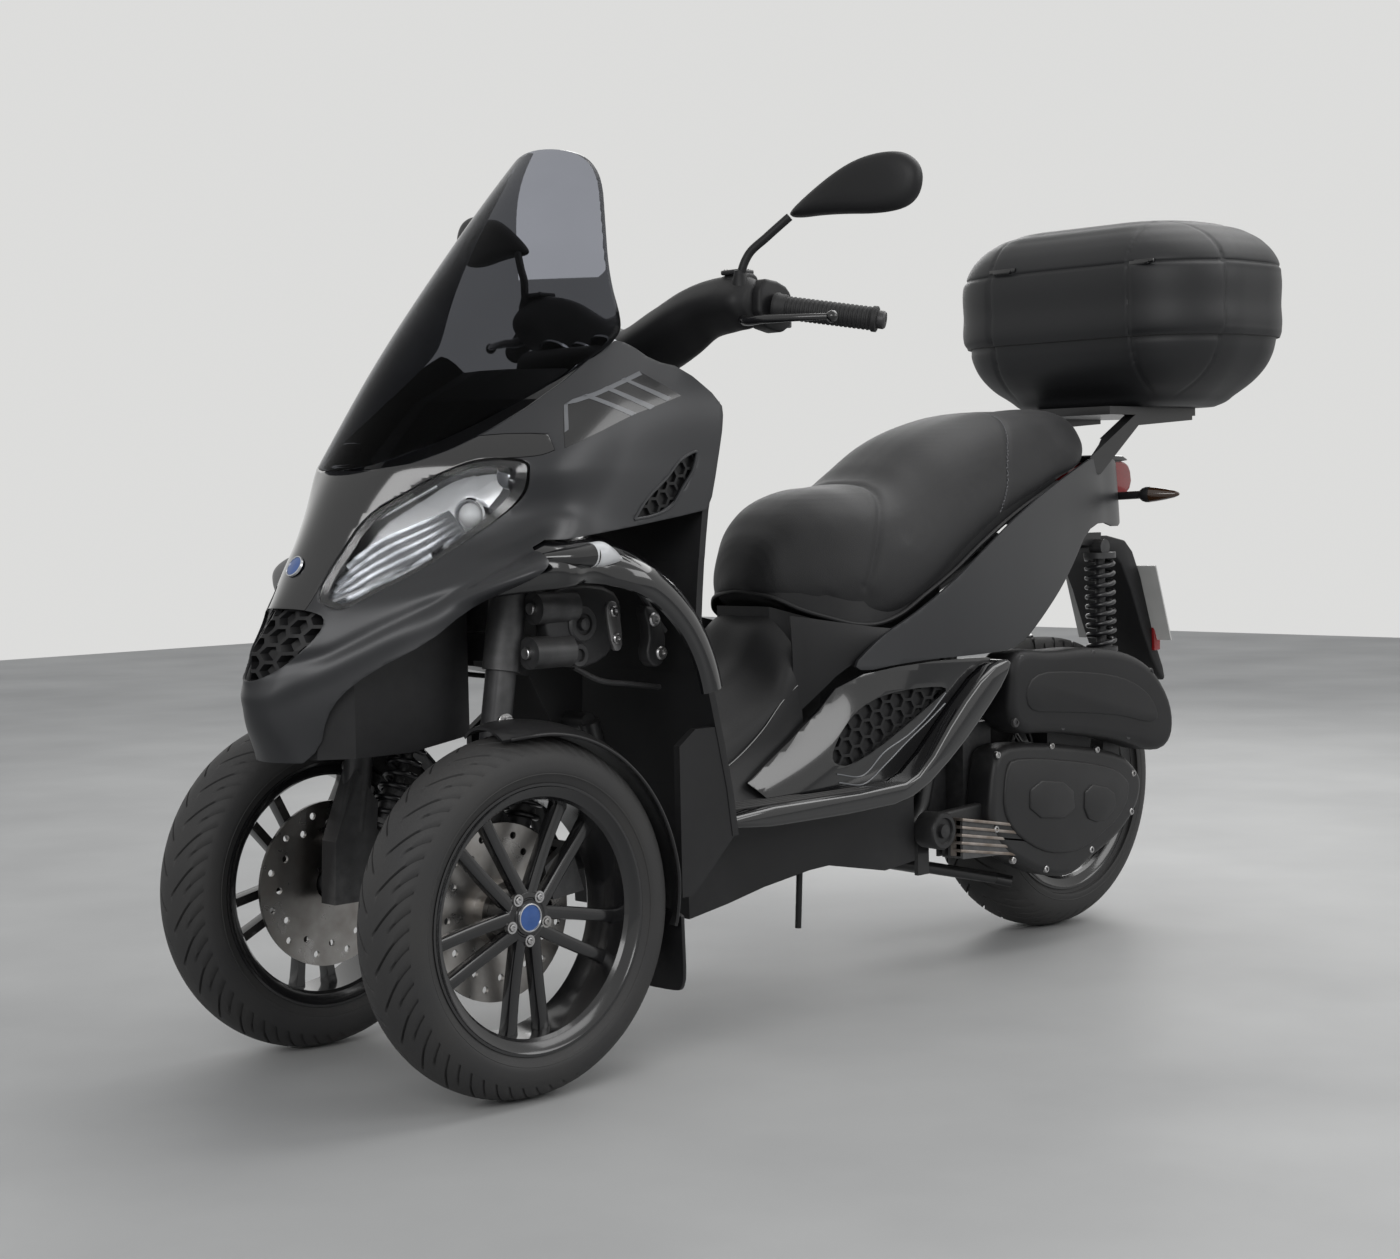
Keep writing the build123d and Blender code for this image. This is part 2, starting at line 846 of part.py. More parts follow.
shield_rear = [
    (399, 925),
    (383, 835),
    (367, 770),
    (356, 700),
    (352, 620),
    (362, 540),
    (384, 450),
    (402, 371),
    (shield_foot_y, 302),
]
stem_hole = rod((0, bar_axis_y(820), 820), (0, bar_axis_y(1040), 1040), 30)


def make_shield():
    front = [(y - shield_wall, z) for y, z in reversed(shield_rear)]
    wall = side_prism(shield_rear + front, 1 - flank_x, flank_x - 1)
    above = wall & cowl_body(panel_wall + seat_gap) & level_prism(shield_area, 556, 930)
    below = wall & level_prism(shield_area, 300, 556)
    cheek = [(shield_foot_y - 8, 302), (320, 226), (298, 226), (298, 440), (330, 462)]
    cheek += [(372, 462), (382, 420), (392, 360)]
    for side in (1, -1):
        below += side_prism(cheek, *sorted((side * (flank_x - 14), side * (flank_x - 2))))
    return above + below - stem_hole


shield_area = [(-300, 200), (300, 200), (300, 500), (-300, 500)]
save("leg_shield", make_shield() - arch - mirrored(arch))

# Dashboard behind the screen

dash_levels = [
    (838, [(0, -30), (60, -14), (120, 60), (170, 150), (196, 250), (196, 371.2)]),
    (930, [(0, 55), (60, 78), (115, 140), (158, 215), (176, 280), (176, 387.6)]),
    (975, [(0, 150), (50, 160), (85, 205), (115, 250), (120, 290), (120, 350)]),
]
dash_hollow = [
    (837, [(0, -18), (56, -4), (113, 66), (162, 154), (190, 252), (190, 358)]),
    (922, [(0, 66), (56, 87), (108, 146), (150, 218), (170, 283), (170, 373)]),
    (970, [(0, 158), (46, 168), (78, 208), (108, 253), (114, 290), (114, 343)]),
]
column_hole = rod((0, bar_axis_y(840), 840), (0, bar_axis_y(1040), 1040), 66)
dashboard = plan_loft(dash_levels) - plan_loft(dash_hollow) - column_hole - frame - screen_space
dashboard = dashboard - (cowl_outer - cowl_body(panel_wall + seat_gap))
save("dashboard", dashboard)

# Tunnel, floor boards and belly

tunnel_front_y = shield_foot_y + seat_gap
bin_front_y = rear_y - 768
tunnel_sections = [
    (tunnel_front_y, 436, 56, 108),
    ((tunnel_front_y + bin_front_y) / 2, 484, 60, 114),
    (bin_front_y - 55, 532, 62, tunnel_half),
    (bin_front_y - 18, 587, 70, tunnel_half),
    (bin_front_y, 600, 74, tunnel_half),
]


def tunnel_form(inset):
    with BuildPart() as body:
        for y, top, half_top, half_low in tunnel_sections:
            with BuildSketch(cross_plane(y)):
                half = [
                    (half_low + 34 - inset, floor_z),
                    (half_low - inset, top - 50),
                    (half_top + 14 - inset, top - 14 - inset),
                    (half_top - 10 - inset, top - inset),
                ]
                closed_face(half + [(-x, z) for x, z in reversed(half)])
        loft(ruled=True)
    return body.part


tunnel_body = tunnel_form(0)
cheek_plan = [(tunnel_half - 4, bin_front_y - 12), (tunnel_half, bin_front_y - 12)]
cheek_plan += [(178, rear_y - 588), (174, rear_y - 588)]
cheek_side = behind([(-780, 446), (-705, 512), (-640, 564), (-630, 574), (-660, 578)])
cheek_side += behind([(-715, 588), (-780, 600)])
tunnel_cheek = level_prism(cheek_plan, 430, 620) & side_prism(cheek_side, 100, 190)
tunnel_shell = tunnel_body - tunnel_form(panel_wall)
save("tunnel", tunnel_shell + tunnel_cheek + mirrored(tunnel_cheek))

deck_y = shield_foot_y + seat_gap
step_top = behind([(-649, 332), (-590, 352), (-505, 440), (-430, 500), (-355, 520)])
step_low = behind([(-380, 480), (-435, 430), (-504, 375), (-597, 316), (-684, 301)])
floor_edge = side_prism([(deck_y, 302), (deck_y, floor_z)] + step_top + step_low, 176, 222)
deck_side = [(deck_y, 318), (deck_y, floor_z)] + behind([(-640, floor_z), (-640, 318)])
floor_deck = side_prism(deck_side, -176, 176)
save("floorboards", floor_edge + mirrored(floor_edge) + floor_deck - tunnel_body)

belly_end = rear_y - 510
belly_foot = [(417, 166), (497, 178), (576, 193), (679, 206)]
belly_foot += [(rear_y - 717, 208), (rear_y - 584, 183), (belly_end, 190)]
belly_top = 318 - seat_gap
belly = side_prism(belly_foot + [(belly_end, belly_top), (deck_y, belly_top)], -128, 128)
belly_floor = [(y, z + 6) for y, z in belly_foot]
belly_hollow = side_prism(belly_floor + [(belly_end, 320), (deck_y, 320)], -122, 122)
belly_span = [(-130, deck_y + 6), (130, deck_y + 6), (130, belly_end - 6), (-130, belly_end - 6)]
belly_hollow = belly_hollow & level_prism(belly_span, 100, 400)
drain_hose = rod((100, rear_y - 760, 112), (104, rear_y - 758, 211), 5)
save("belly", belly - belly_hollow - frame + drain_hose)

# Seat: rider's pad and raised passenger's pad

rider_pad = [
    (-782, 634, 666, 16, 34),
    (-770, 624, 704, 42, 64),
    (-738, 610, 748, 74, 100),
    (-692, 594, 782, 102, 126),
    (-636, 577, 801, 122, 148),
    (-560, 582, 804, 134, 164),
    (-470, 634, 836, 128, 170),
]
passenger_pad = [
    (-520, 616, 814, 116, 168),
    (-406, 678, 880, 118, 166),
    (-290, 732, 918, 114, 154),
    (-130, 792, 931, 102, 136),
    (26, 850, 926, 72, 102),
]


def pad(sections):
    """Cushion whose cross-sections are domed on top and flat below."""
    with BuildPart() as body:
        for y, low, top, half_top, half_low in sections:
            rise = top - low
            with BuildSketch(cross_plane(rear_y + y)):
                with BuildLine():
                    Spline(
                        (-half_low + 14, low),
                        (-half_low, low + 0.22 * rise),
                        (-half_top, low + 0.78 * rise),
                        (-half_top * 0.5, top - 0.03 * rise),
                        (0, top),
                        (half_top * 0.5, top - 0.03 * rise),
                        (half_top, low + 0.78 * rise),
                        (half_low, low + 0.22 * rise),
                        (half_low - 14, low),
                    )
                    Line((half_low - 14, low), (-half_low + 14, low))
                make_face()
        loft(ruled=True)
    return body.part


seat = pad(rider_pad) + pad(passenger_pad)
save("seat", seat)

# Storage bin under the seat, its rim just below the seat pan

storage_outline = behind([(-768, 345), (-768, 616), (-700, 590), (-640, 580), (-560, 594)])
storage_outline += behind([(-480, 640), (-412, 690), (-412, 520), (-485, 345)])
storage_inside = behind([(bin_wall - 768, 349), (bin_wall - 768, 730), (-416, 730)])
storage_inside += behind([(-416, 522), (-488, 349)])


def bin_plan(inset):
    """Plan of the bin, its front corners cut off behind the tunnel."""
    wide = bin_half_width - inset
    front = bin_front_y + inset
    corner = [(wide - 50, front), (wide, front + 60), (wide, rear_y)]
    return level_prism(corner + [(-x, y) for x, y in reversed(corner)], 300, 760)


storage = side_prism(storage_outline, -bin_half_width, bin_half_width) & bin_plan(0)
storage_hollow = side_prism(storage_inside, -bin_half_width, bin_half_width) & bin_plan(bin_wall)
storage = storage - storage_hollow
save("storage_bin", storage - frame - seat.moved(Location((0, 0, -seat_gap))))

# Side panels: painted above, black below, both cut from one body form

body_levels = [
    (330, [-960, -960, -740, -580, -400, -300, -200, -100, -90], [0, 150, 172, 177, 176, 160, 120, 60, 0]),
    (480, [-860, -800, -660, -490, -290, -120, 30, 130, 165], [0, 124, 176, 194, 186, 164, 122, 66, 0]),
    (640, [-800, -760, -640, -490, -290, -120, 40, 150, 190], [0, 120, 172, 192, 184, 160, 122, 70, 0]),
    (880, [-740, -740, -640, -490, -290, -120, 40, 150, 190], [0, 110, 150, 168, 160, 138, 104, 60, 0]),
]


def body_form(inset):
    levels = []
    for z, stations, widths in body_levels:
        plan = []
        for y, x in zip(stations, widths):
            inward = -inset if y > 0 else inset * 0.5
            plan.append((max(x - inset, 0), rear_y + y + inward))
        levels.append((z, plan))
    return plan_loft(levels)


panel_side = behind(
    [
        (-705, 508),
        (-639, 566),
        (-576, 594),
        (-493, 636),
        (-392, 694),
        (-288, 746),
        (-191, 785),
        (-60, 828),
        (20, 850),
        (150, 842),
        (172, 790),
        (140, 712),
        (-21, 740),
        (-128, 643),
        (-220, 580),
        (-303, 528),
        (-404, 524),
        (-578, 524),
    ]
)
lower_side = behind(
    [
        (-940, floor_z),
        (-648, floor_z),
        (-594, 353),
        (-509, 443),
        (-434, 503),
        (-380, 514),
        (-404, 520),
        (-578, 520),
        (-705, 504),
        (-772, 440),
    ]
)
body_wall = panel_wall + 2
body_outer = body_form(0)
body_shell = body_outer - body_form(body_wall)
side_panel = (body_shell & side_prism(panel_side, 1, 240)) - seat
lower_outline = behind([(-759, 375), (-704, 365), (-526, 457), (-488, 479), (-611, 480)])
lower_outline += behind([(-683, 461), (-731, 419)])
lower_hole = side_prism(lower_outline, 150, 240)
lower_cover = (body_shell & side_prism(lower_side, 60, 240)) - tunnel_body - lower_hole
lower_comb = honeycomb(side_plane(150), lower_outline, 90, 30, 4.5)
lower_vent = (body_form(body_wall + seat_gap) - body_form(12)) & lower_comb
lower_vent += (body_form(12) - body_form(15)) & lower_hole
lower_vent = lower_vent - tunnel_body
panel_mount = None
for y, z in ((rear_y - 380, 580), (rear_y - 100, 680)):
    tube = rod((-190, y, z), (190, y, z), 11) & body_form(body_wall + seat_gap)
    panel_mount = tube if panel_mount is None else panel_mount + tube
save("frame", frame + panel_mount)
save_both("side_panels", side_panel)
save_both("lower_covers", lower_cover)
vents = [flank_vent, mirrored(flank_vent), lower_vent, mirrored(lower_vent)]
save("vent_grilles", Compound(children=vents))

# Engine with its finned case, transmission, air box and silencer

fin_count = 5
fin_pitch = 13.0
fin_start_x = rail_x + rail_radius + 4
arm_x = rear_tyre_width / 2 + 14
drive_x = rear_tyre_width / 2 + 36
drive_high_x = drive_x + 66


def make_engine():
    crank = behind([(-466, 212), (-466, 228), (-440, 250), (-440, 400)])
    crank += behind([(-330, 500), (-275, 500), (-275, 235), (-430, 205)])
    block = side_prism(crank, -68, 68)
    block += side_prism(behind([(-355, 240), (-355, 400), (-280, 400), (-280, 240)]), 68, drive_x)
    block += side_prism(behind([(-350, 240), (-350, 330), (-280, 330), (-280, 240)]), -arm_x, -68)
    arm = behind([(-350, 240), (-350, 330), (-40, 300), (shock_behind - 12, shock_low_z - seat_gap)])
    arm += behind([(shock_behind + 12, shock_low_z - seat_gap)])
    arm += at_rear_axle([(38, 8), (30, -26), (-10, -36)])
    block += side_prism(arm, -arm_x - 20, -arm_x)
    block += rod((-arm_x, rear_y, rear_z), (-hub_inner - seat_gap, rear_y, rear_z), axle_radius)
    fin = behind([(-431, 186), (-431, 254), (-189, 210), (-215, 176)])
    for step in range(fin_count):
        fin_x = fin_start_x + step * fin_pitch
        block += side_prism(fin, fin_x, fin_x + 5)
    root = behind([(-420, 196), (-420, 238), (-280, 226), (-280, 190)])
    fin_end_x = fin_start_x + (fin_count - 1) * fin_pitch
    return block + side_prism(root, 60, fin_end_x)


def make_transmission():
    outline = behind([(-363, 205), (-350, 330), (-323, 374), (3, 330), (63, 290), (78, 262), (60, 215)])
    outline += behind([(0, 172), (-75, 146), (-134, 118), (-220, 132)])
    cover = rounded_side_prism(outline, drive_x, drive_high_x, 14)
    cover += rod((drive_x + 20, rear_y - 478, 238), (drive_high_x - 6, rear_y - 478, 238), 31)
    snout = behind([(-500, 215), (-500, 262), (-340, 270), (-340, 225)])
    cover += side_prism(snout, drive_x + 24, drive_x + 44)
    cover += rod((hub_outer + seat_gap, rear_y, rear_z), (drive_x + 4, rear_y, rear_z), axle_radius)
    lug_z = shock_low_z - seat_gap
    lug = [(30, 310), (85, 290), (shock_behind + 12, lug_z), (shock_behind - 12, lug_z)]
    return cover + side_prism(behind(lug), 84, drive_x + 8)


def make_air_box():
    outline = [(-335, 384), (-330, 500), (-300, 528), (-220, 516), (-110, 518), (4, 504)]
    outline += [(84, 470), (140, 404), (142, 340), (98, 314), (0, 345), (-200, 378)]
    return rounded_side_prism(behind(outline), drive_x + 12, drive_high_x + 24, 12)


engine = make_engine()
transmission = make_transmission() - engine
air_foot = behind([(-180, 330), (-180, 400), (-60, 400), (-60, 330)])
air_box = make_air_box() + side_prism(air_foot, drive_x + 12, drive_high_x - 20) - transmission
with BuildPart() as silencer:
    silencer_plane = Plane(origin=(-152, rear_y - 250, 238), x_dir=(1, 0, 0), z_dir=(0, 0.955, 0.296))
    with BuildSketch(silencer_plane):
        Ellipse(46, 62)
    extrude(amount=420)
exhaust = rod((-40, rear_y - 440, 232), (-112, rear_y - 360, 205), 18)
exhaust += rod((-112, rear_y - 360, 205), (-150, rear_y - 240, 240), 18) + silencer.part
save("engine", engine)
save("transmission", transmission)
save("air_box", air_box)
save("exhaust", exhaust - engine)

# Rear springs


def rear_shock(side):
    low = Vector(side * shock_x, rear_y + shock_behind, shock_low_z)
    top = Vector(side * shock_x, rear_y + shock_behind - 6, shock_top_z)
    axis = (top - low).normalized()
    length = (top - low).length
    unit = rod(tuple(low), tuple(top), 13)
    for turn in range(9):
        start = low + axis * (length * (0.40 + 0.060 * turn))
        unit += rod(tuple(start), tuple(start + axis * 9), 26)
    return unit


save("rear_shocks", Compound(children=[rear_shock(1), rear_shock(-1)]))

# Rear mudguard, plate, lamps and rack

guard_side = [(-11.7, 705), (160, 705), (206, 660), (262, 500), (300, 430)]
guard_side += [(284, 424), (240, 488), (170, 640), (120, 684), (-11.7, 684)]
mudguard = side_prism(behind(guard_side), -68, 68)
save("rear_mudguard", mudguard)
plate_top = Vector(rear_y + 212, 646)
plate_run = (Vector(rear_y + 262, 500) - plate_top).normalized()
plate_out = Vector(-plate_run.Y, plate_run.X)
plate_corners = [
    plate_top,
    plate_top + plate_out * 3,
    plate_top + plate_run * 148 + plate_out * 3,
    plate_top + plate_run * 148,
]
save("number_plate", side_prism([(corner.X, corner.Y) for corner in plate_corners], -105, 105) - mudguard)

lamp_side = [(120, 846), (176, 842), (200, 834), (206, 792), (176, 772), (120, 772)]
tail_lamp = side_prism(behind(lamp_side), -62, 62) - body_outer
save("tail_lamp", tail_lamp)


def tapered(start, end, radius_start, radius_end):
    """Round piece that narrows between two points."""
    axis = Vector(*end) - Vector(*start)
    with BuildPart() as piece:
        for point, radius in ((start, radius_start), (end, radius_end)):
            with BuildSketch(Plane(origin=point, z_dir=axis.normalized())):
                Circle(radius)
        loft()
    return piece.part


def make_rear_indicator():
    lens_start = (122, rear_y + 150, 778)
    stalk = rod((60, rear_y + 150, 776), lens_start, 7)
    return stalk + tapered(lens_start, (190, rear_y + 167, 778), 14, 6) - body_outer - tail_lamp


def make_front_indicator():
    """Pointed lamp that stands out of the flare above the wheel arch."""
    outline = [(54, 716), (84, 702), (130, 700), (158, 712), (150, 724), (110, 732), (76, 728)]
    return side_prism(outline, arch_outer_x - 46, arch_outer_x + 6) - arch_space


arch_space = arch + cowl_outer
pair = [make_rear_indicator(), make_front_indicator()]
save("indicators", Compound(children=pair + [mirrored(piece) for piece in pair]))

strut_side = [(0, 820), (30, 816), (148, 904), (320, 915), (320, 924), (140, 924), (0, 846)]
rack_strut = side_prism(behind(strut_side), 92, 116)
rack_plate = level_prism(
    [
        (-116, rear_y + 60),
        (116, rear_y + 60),
        (116, rear_y + 330),
        (70, rear_y + 370),
        (-70, rear_y + 370),
        (-116, rear_y + 330),
    ],
    923,
    case_floor_z - seat_gap,
)
save("rack", rack_strut + mirrored(rack_strut) + rack_plate - seat - body_outer)

# Top case: a tub on the rack and a lid that opens at the ledge

tub_levels = [
    (case_floor_z, 0.63, 0.55),
    (957, 0.71, 0.61),
    (1000, 0.89, 0.87),
    (case_split_z, 0.965, 0.96),
]
lid_levels = [
    (case_split_z + seat_gap, 0.99, 0.99),
    (1180, 1.0, 1.0),
    (1224, 0.93, 0.91),
    (1256, 0.79, 0.75),
    (1276, 0.50, 0.46),
]


def case_form(levels, inset, low=0.0, high=0.0):
    """Rounded box whose width and depth change from level to level."""
    last = len(levels) - 1
    with BuildPart() as body:
        for index, (z, width_share, depth_share) in enumerate(levels):
            half_width = case_half_width * width_share - inset
            half_depth = case_half_depth * depth_share - inset
            shift = low if index == 0 else high if index == last else 0.0
            with BuildSketch(level_plane(z + shift)):
                with Locations((0, case_y)):
                    RectangleRounded(2 * half_width, 2 * half_depth, half_depth * 0.82)
        loft(ruled=True)
    return body.part


save("case_tub", case_form(tub_levels, 0) - case_form(tub_levels, case_wall, case_wall, 0.01))
save("case_lid", case_form(lid_levels, 0) - case_form(lid_levels, case_wall, -0.01, -case_wall))

# Centre stand, folded up under the engine


def make_stand():
    stand = rod((-rail_x + 8, stand_y, stand_z), (rail_x - 8, stand_y, stand_z), 11)
    for side in (1, -1):
        knee = (side * 82, stand_y + 200, stand_z - 46)
        foot = (side * 104, stand_y + 215, stand_z - 52)
        stand += rod((side * 60, stand_y, stand_z), knee, 10)
        stand += rod((side * 76, stand_y + 192, stand_z - 44), foot, 10)
    return stand


save("centre_stand", make_stand())
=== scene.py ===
"""Looks of a three-wheeled motor scooter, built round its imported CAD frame.

Shapes are given in the design's own millimetres: X to the rider's left, Y back from
the front axle, Z up. place() turns them into the frame's metres.
"""
import json
import math

import bmesh
import bpy
import numpy as np
from mathutils import Matrix, Vector

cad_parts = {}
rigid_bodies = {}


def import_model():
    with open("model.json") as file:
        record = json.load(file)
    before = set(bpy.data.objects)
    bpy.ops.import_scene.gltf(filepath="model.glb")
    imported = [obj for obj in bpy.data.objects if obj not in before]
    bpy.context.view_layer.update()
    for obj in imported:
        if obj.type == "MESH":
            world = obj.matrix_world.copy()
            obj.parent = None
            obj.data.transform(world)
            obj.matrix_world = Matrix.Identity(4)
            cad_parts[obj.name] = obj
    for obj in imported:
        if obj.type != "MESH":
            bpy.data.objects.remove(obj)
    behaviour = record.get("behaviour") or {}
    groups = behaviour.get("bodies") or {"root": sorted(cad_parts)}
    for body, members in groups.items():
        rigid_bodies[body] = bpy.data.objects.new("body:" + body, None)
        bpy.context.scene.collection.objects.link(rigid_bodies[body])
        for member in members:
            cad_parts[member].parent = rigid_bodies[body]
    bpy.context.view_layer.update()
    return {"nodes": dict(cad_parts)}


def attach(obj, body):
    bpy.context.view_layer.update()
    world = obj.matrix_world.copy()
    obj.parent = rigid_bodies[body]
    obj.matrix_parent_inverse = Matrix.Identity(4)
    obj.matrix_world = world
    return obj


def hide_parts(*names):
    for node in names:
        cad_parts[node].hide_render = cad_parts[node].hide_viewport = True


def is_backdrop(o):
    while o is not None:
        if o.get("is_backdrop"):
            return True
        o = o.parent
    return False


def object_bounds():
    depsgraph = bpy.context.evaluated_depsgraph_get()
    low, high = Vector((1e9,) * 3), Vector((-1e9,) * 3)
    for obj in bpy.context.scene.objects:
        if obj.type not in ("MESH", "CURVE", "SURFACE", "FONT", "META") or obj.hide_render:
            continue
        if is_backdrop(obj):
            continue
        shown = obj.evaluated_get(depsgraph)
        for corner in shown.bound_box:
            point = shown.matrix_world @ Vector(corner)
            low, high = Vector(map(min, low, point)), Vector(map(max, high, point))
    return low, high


for leftover in list(bpy.data.objects):
    bpy.data.objects.remove(leftover)
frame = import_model()

CENTRE_Y = 820.0
WHEEL_X = 232.5
FRONT_RADIUS, FRONT_WIDTH, FRONT_BEAD = 242.0, 112.0, 165.0
REAR_Y = 1440.0
REAR_RADIUS, REAR_WIDTH, REAR_BEAD = 262.0, 140.0, 178.0


def place(points):
    """Design millimetres to frame metres."""
    moved = np.array(points, float).reshape(-1, 3)
    moved[:, 1] -= CENTRE_Y
    return moved / 1000


# Shader groups


def new_group(name, inputs, outputs):
    """Shader node group with named sockets, and its two end nodes."""
    tree = bpy.data.node_groups.new(name, "ShaderNodeTree")
    for label, kind, value in inputs:
        socket = tree.interface.new_socket(label, in_out="INPUT", socket_type=kind)
        socket.default_value = value
    for label, kind in outputs:
        tree.interface.new_socket(label, in_out="OUTPUT", socket_type=kind)
    return tree, tree.nodes.new("NodeGroupInput"), tree.nodes.new("NodeGroupOutput")


def math_node(tree, operation, first, second=None, clamp=False):
    node = tree.nodes.new("ShaderNodeMath")
    node.operation = operation
    node.use_clamp = clamp
    for index, value in enumerate((first, second)):
        if value is None:
            continue
        if isinstance(value, (int, float)):
            node.inputs[index].default_value = value
        else:
            tree.links.new(value, node.inputs[index])
    return node.outputs[0]


def mix_colors(tree, factor, first, second):
    node = tree.nodes.new("ShaderNodeMix")
    node.data_type = "RGBA"
    for label, value in (("Factor", factor), ("A", first), ("B", second)):
        socket = [s for s in node.inputs if s.name == label and s.enabled][0]
        if isinstance(value, (int, float, tuple)):
            socket.default_value = value
        else:
            tree.links.new(value, socket)
    return [s for s in node.outputs if s.enabled][0]


def object_point(tree):
    return tree.nodes.new("ShaderNodeTexCoord").outputs["Object"]


def noise(tree, vector, scale, detail=3.0):
    node = tree.nodes.new("ShaderNodeTexNoise")
    node.inputs["Detail"].default_value = detail
    tree.links.new(vector, node.inputs["Vector"])
    if isinstance(scale, (int, float)):
        node.inputs["Scale"].default_value = scale
    else:
        tree.links.new(scale, node.inputs["Scale"])
    return node.outputs["Fac"]


def make_patches_group():
    """Slow changes of colour and roughness over a surface."""
    tree, given, result = new_group(
        "surface patches",
        [
            ("Color", "NodeSocketColor", (0.5, 0.5, 0.5, 1)),
            ("Shade", "NodeSocketColor", (0.4, 0.4, 0.4, 1)),
            ("Scale", "NodeSocketFloat", 8.0),
            ("Roughness", "NodeSocketFloat", 0.5),
            ("Spread", "NodeSocketFloat", 0.06),
        ],
        [("Color", "NodeSocketColor"), ("Roughness", "NodeSocketFloat")],
    )
    cloud = noise(tree, object_point(tree), given.outputs["Scale"], 5.0)
    mask = math_node(tree, "MULTIPLY_ADD", cloud, 2.2, clamp=True)
    mask.node.inputs[2].default_value = -0.6
    color = mix_colors(tree, mask, given.outputs["Color"], given.outputs["Shade"])
    offset = math_node(tree, "MULTIPLY", math_node(tree, "SUBTRACT", cloud, 0.5), 2.0)
    swing = math_node(tree, "MULTIPLY", offset, given.outputs["Spread"])
    rough = math_node(tree, "ADD", given.outputs["Roughness"], swing, clamp=True)
    tree.links.new(color, result.inputs["Color"])
    tree.links.new(rough, result.inputs["Roughness"])
    return tree


def make_grain_group():
    """Leather-like pebble grain for vinyl and moulded plastic."""
    tree, given, result = new_group(
        "moulded grain",
        [("Scale", "NodeSocketFloat", 900.0), ("Softness", "NodeSocketFloat", 0.4)],
        [("Height", "NodeSocketFloat")],
    )
    point = object_point(tree)
    cells = tree.nodes.new("ShaderNodeTexVoronoi")
    cells.feature = "F1"
    tree.links.new(point, cells.inputs["Vector"])
    tree.links.new(given.outputs["Scale"], cells.inputs["Scale"])
    fine = noise(tree, point, math_node(tree, "MULTIPLY", given.outputs["Scale"], 1.7), 2.0)
    soft = math_node(tree, "MULTIPLY", fine, given.outputs["Softness"])
    height = math_node(tree, "ADD", cells.outputs["Distance"], soft)
    tree.links.new(height, result.inputs["Height"])
    return tree


def make_wear_group():
    """Paler edges where a surface is rubbed."""
    tree, given, result = new_group(
        "rubbed edges",
        [
            ("Color", "NodeSocketColor", (0.5, 0.5, 0.5, 1)),
            ("Worn", "NodeSocketColor", (0.6, 0.6, 0.6, 1)),
            ("Amount", "NodeSocketFloat", 0.5),
        ],
        [("Color", "NodeSocketColor"), ("Mask", "NodeSocketFloat")],
    )
    edge = tree.nodes.new("ShaderNodeNewGeometry").outputs["Pointiness"]
    lifted = math_node(tree, "MULTIPLY", math_node(tree, "SUBTRACT", edge, 0.53), 9.0, True)
    broken = noise(tree, object_point(tree), 60.0, 4.0)
    mask = math_node(tree, "MULTIPLY", lifted, broken)
    mask = math_node(tree, "MULTIPLY", mask, given.outputs["Amount"], True)
    color = mix_colors(tree, mask, given.outputs["Color"], given.outputs["Worn"])
    tree.links.new(color, result.inputs["Color"])
    tree.links.new(mask, result.inputs["Mask"])
    return tree


def make_dust_group():
    """Pale dust that settles on what faces up."""
    tree, given, result = new_group(
        "settled dust",
        [
            ("Color", "NodeSocketColor", (0.5, 0.5, 0.5, 1)),
            ("Dust", "NodeSocketColor", (0.22, 0.21, 0.2, 1)),
            ("Amount", "NodeSocketFloat", 0.2),
        ],
        [("Color", "NodeSocketColor"), ("Mask", "NodeSocketFloat")],
    )
    normal = tree.nodes.new("ShaderNodeNewGeometry").outputs["Normal"]
    split = tree.nodes.new("ShaderNodeSeparateXYZ")
    tree.links.new(normal, split.inputs[0])
    upward = math_node(tree, "MAXIMUM", split.outputs["Z"], 0.12)
    cloud = noise(tree, object_point(tree), 14.0, 6.0)
    speck = noise(tree, object_point(tree), 420.0, 2.0)
    mask = math_node(tree, "MULTIPLY", math_node(tree, "MULTIPLY", cloud, speck), upward)
    amount = math_node(tree, "MULTIPLY", given.outputs["Amount"], 4.0)
    mask = math_node(tree, "MULTIPLY", mask, amount, True)
    color = mix_colors(tree, mask, given.outputs["Color"], given.outputs["Dust"])
    tree.links.new(color, result.inputs["Color"])
    tree.links.new(mask, result.inputs["Mask"])
    return tree


PATCHES = make_patches_group()
GRAIN = make_grain_group()
WEAR = make_wear_group()
WEAR_SHARE = 0.6
DUST = make_dust_group()


def put_group(tree, group, values):
    node = tree.nodes.new("ShaderNodeGroup")
    node.node_tree = group
    for label, value in values.items():
        if isinstance(value, (int, float, tuple)):
            node.inputs[label].default_value = value
        else:
            tree.links.new(value, node.inputs[label])
    return node


def rgba(color):
    return (*color, 1.0)


